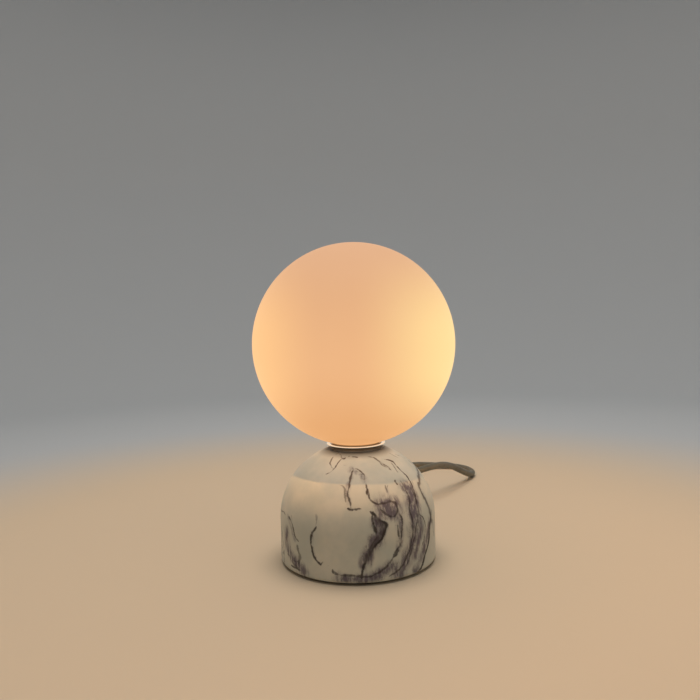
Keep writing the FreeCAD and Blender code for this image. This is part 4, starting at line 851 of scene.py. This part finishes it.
# ---------------------------------------------------------------- finishes of the carried-over pieces
def finishes():
    """One finish for each of the record's material slots."""
    taupe, deep_taupe = (0.150, 0.140, 0.105), (0.115, 0.108, 0.082)
    metal = {"metallic": 1.0}
    # slot: name, two colours, least and most roughness, grains a metre, their depth in millimetres,
    # patches a metre, and further sockets
    table = {
        "foam_pad": ("pad_foam", (0.022, 0.022, 0.023), (0.035, 0.034, 0.033), 0.85, 0.98, 900, 0.25, 80, {}),
        "black_steel": ("satin_black_paint", (0.018, 0.018, 0.019), (0.026, 0.026, 0.026), 0.38, 0.55,
                        1400, 0.03, 80, {}),
        "zinc_screw": ("zinc_plated_screw", (0.62, 0.62, 0.60), (0.50, 0.50, 0.50), 0.22, 0.40,
                       2500, 0.01, 400, metal),
        "zinc_steel": ("zinc_plated_steel", (0.58, 0.58, 0.57), (0.47, 0.47, 0.48), 0.26, 0.46,
                       1800, 0.015, 160, metal),
        "fibre": ("pressed_fibre", (0.20, 0.07, 0.04), (0.15, 0.05, 0.03), 0.7, 0.9, 1800, 0.08, 80, {}),
        "silicone": ("milky_silicone", (0.55, 0.53, 0.50), (0.48, 0.47, 0.44), 0.35, 0.5, 900, 0.02, 80,
                     {"subsurface_weight": 0.2, "subsurface_scale": 0.003}),
        "holder_ceramic": ("unglazed_ceramic", (0.74, 0.72, 0.66), (0.66, 0.64, 0.58), 0.55, 0.75,
                           2200, 0.05, 80, {}),
        "contact_brass": ("contact_brass", (0.66, 0.45, 0.15), (0.55, 0.36, 0.11), 0.2, 0.35,
                          1500, 0.01, 80, metal),
        "bulb_plastic": ("bulb_plastic", (0.78, 0.77, 0.74), (0.72, 0.71, 0.68), 0.22, 0.34,
                         1500, 0.01, 80, {}),
        "pin_metal": ("nickel_pins", (0.66, 0.65, 0.62), (0.58, 0.57, 0.55), 0.16, 0.30,
                      1800, 0.01, 300, metal),
        "clear_plastic": ("natural_plastic", (0.64, 0.63, 0.58), (0.57, 0.56, 0.51), 0.3, 0.45, 900, 0.02,
                          80, {"subsurface_weight": 0.25, "subsurface_scale": 0.004}),
        "black_plastic": ("black_moulding", (0.020, 0.020, 0.021), (0.030, 0.030, 0.030), 0.4, 0.55,
                          1300, 0.04, 80, {}),
        "cord_plastic": ("taupe_moulding", taupe, deep_taupe, 0.42, 0.56, 1500, 0.05, 80, {}),
        "rocker_plastic": ("taupe_gloss_moulding", (0.17, 0.16, 0.12), (0.14, 0.13, 0.10), 0.22, 0.34,
                           1200, 0.01, 80, {}),
        "cord_jacket": ("taupe_cord_jacket", taupe, deep_taupe, 0.40, 0.55, 700, 0.06, 120, {}),
        "tie_strap": ("black_strap", (0.018, 0.018, 0.019), (0.030, 0.029, 0.028), 0.8, 0.95,
                      2200, 0.25, 600, {"sheen_weight": 0.3}),
        "brown_lead": ("brown_insulation", (0.16, 0.06, 0.025), (0.12, 0.045, 0.02), 0.32, 0.45,
                       1500, 0.02, 80, {}),
        "blue_lead": ("blue_insulation", (0.02, 0.08, 0.34), (0.015, 0.06, 0.26), 0.32, 0.45,
                      1500, 0.02, 80, {}),
    }
    made = {slot: plain_finish(name, first, second, smooth, rough, grains, depth * MM, patches, **more)
            for slot, (name, first, second, smooth, rough, grains, depth, patches, more) in table.items()}
    made["polished_nickel"] = plain_finish("polished_nickel", **nickel)
    made["bulb_glass"] = bulb_glass_material()
    made["emitter"] = emitter_material()
    return made


def bulb_glass_material():
    """Frosted lamp glass, glowing from within."""
    material, tree, shader = new_material("frosted_bulb_glass", roughness=0.3, emission_strength=1.6)
    place = object_place(tree)
    haze = cloudy(tree, place, 6 * MM, 3.0)
    tree.links.new(blended(tree, haze, (0.86, 0.80, 0.70), (0.80, 0.74, 0.64)), shader.inputs["Base Color"])
    tree.links.new(blended(tree, haze, (1.0, 0.66, 0.34), (1.0, 0.72, 0.42)), shader.inputs["Emission Color"])
    grain = add_group(tree, surface_grain, {"Place": place, "Grains Per Metre": 3000.0})
    raise_bump(tree, shader, grain.outputs["Height"], 0.01 * MM)
    return material


def emitter_material():
    material, tree, shader = new_material("glowing_emitter", roughness=0.5, emission_strength=3.0)
    place = object_place(tree)
    haze = cloudy(tree, place, 2 * MM, 3.0)
    tree.links.new(blended(tree, haze, (0.95, 0.75, 0.35), (0.90, 0.68, 0.28)), shader.inputs["Base Color"])
    tree.links.new(blended(tree, haze, (1.0, 0.75, 0.45), (1.0, 0.70, 0.40)), shader.inputs["Emission Color"])
    return material


def dress_nodes(made):
    """Gives every carried-over piece its slot's finish."""
    for part in frame["record"]["subparts"]:
        node = frame["nodes"][part["node"]]
        if part["material_slot"] in made:
            node.data.materials.clear()
            node.data.materials.append(made[part["material_slot"]])


# ---------------------------------------------------------------- floor and light
def make_stage():
    """A plain pale floor that curves up into a plain wall all round."""
    floor_reach, curve, wall_height, shell = 1.0, 0.7, 1.6, 0.01
    profile = [(0.0, 0.0), (0.25, 0.0), (0.6, 0.0)] + rounded((floor_reach, curve), curve, -90, 0, 24)
    back = floor_reach + curve + shell
    profile += [(floor_reach + curve, wall_height), (back, wall_height), (back, -shell), (0.0, -shell)]
    mesh = turned_mesh("studio", profile, studio_segments)
    studio = place_mesh("studio", mesh, 40)
    material, tree, shader = new_material("plain_pale_floor", roughness=0.7, specular_ior_level=0.25)
    place = object_place(tree)
    reach = add(tree, "ShaderNodeVectorMath", {0: place}, operation="LENGTH").outputs["Value"]
    colour = blended(tree, ramp(tree, reach, 0.31, 0.66), (0.66, 0.53, 0.375), (0.525, 0.54, 0.545))
    soft = cloudy(tree, place, 0.12, 3.0)
    shade = blended(tree, maths(tree, "MULTIPLY", soft, 0.06), colour, (0.5, 0.45, 0.4))
    tree.links.new(shade, shader.inputs["Base Color"])
    studio.data.materials.append(material)


def add_light(name, kind, place, target, power, colour, **settings):
    data = bpy.data.lights.new(name, kind)
    data.energy = power
    data.color = colour
    for key, value in settings.items():
        setattr(data, key, value)
    lamp = bpy.data.objects.new(name, data)
    lamp.location = place
    if target is not None:
        lamp.rotation_euler = (Vector(target) - Vector(place)).to_track_quat("-Z", "Y").to_euler()
    lamp.visible_camera = False
    bpy.context.scene.collection.objects.link(lamp)
    return lamp


def make_lights():
    world = bpy.data.worlds.new("studio_air")
    world.use_nodes = True
    world.node_tree.nodes["Background"].inputs["Color"].default_value = (0.86, 0.93, 1.0, 1.0)
    world.node_tree.nodes["Background"].inputs["Strength"].default_value = 0.20
    bpy.context.scene.world = world
    overhead = add_light("overhead", "AREA", (0.05, 0.12, 1.5), (0, 0.05, 0), 14.0, (1.0, 0.975, 0.94),
                         shape="DISK", size=1.3)
    overhead.visible_glossy = False
    add_light("right_fill", "AREA", (1.0, -0.7, 0.8), (0, 0, 0.1), 0.5, (0.95, 0.97, 1.0),
              shape="DISK", size=0.7)
    # the ball's own light on the stone, the rim and the floor
    glow = add_light("glow", "POINT", globe_centre, None, 2.6, (1.0, 0.52, 0.20), shadow_soft_size=0.070)
    glow.visible_glossy = False


def set_colour_view():
    view = bpy.context.scene.view_settings
    view.view_transform = "Standard"
    view.look = "None"
    view.exposure = 0.0
    view.gamma = 1.0


# ---------------------------------------------------------------- the whole
make_camera()
made_finishes = finishes()
make_cords(made_finishes["cord_jacket"])
dress_nodes(made_finishes)
make_stone(marble_material())
make_globe(glass_material())
make_cup(painted_highlight_rim_material())
make_stage()
make_lights()
set_colour_view()
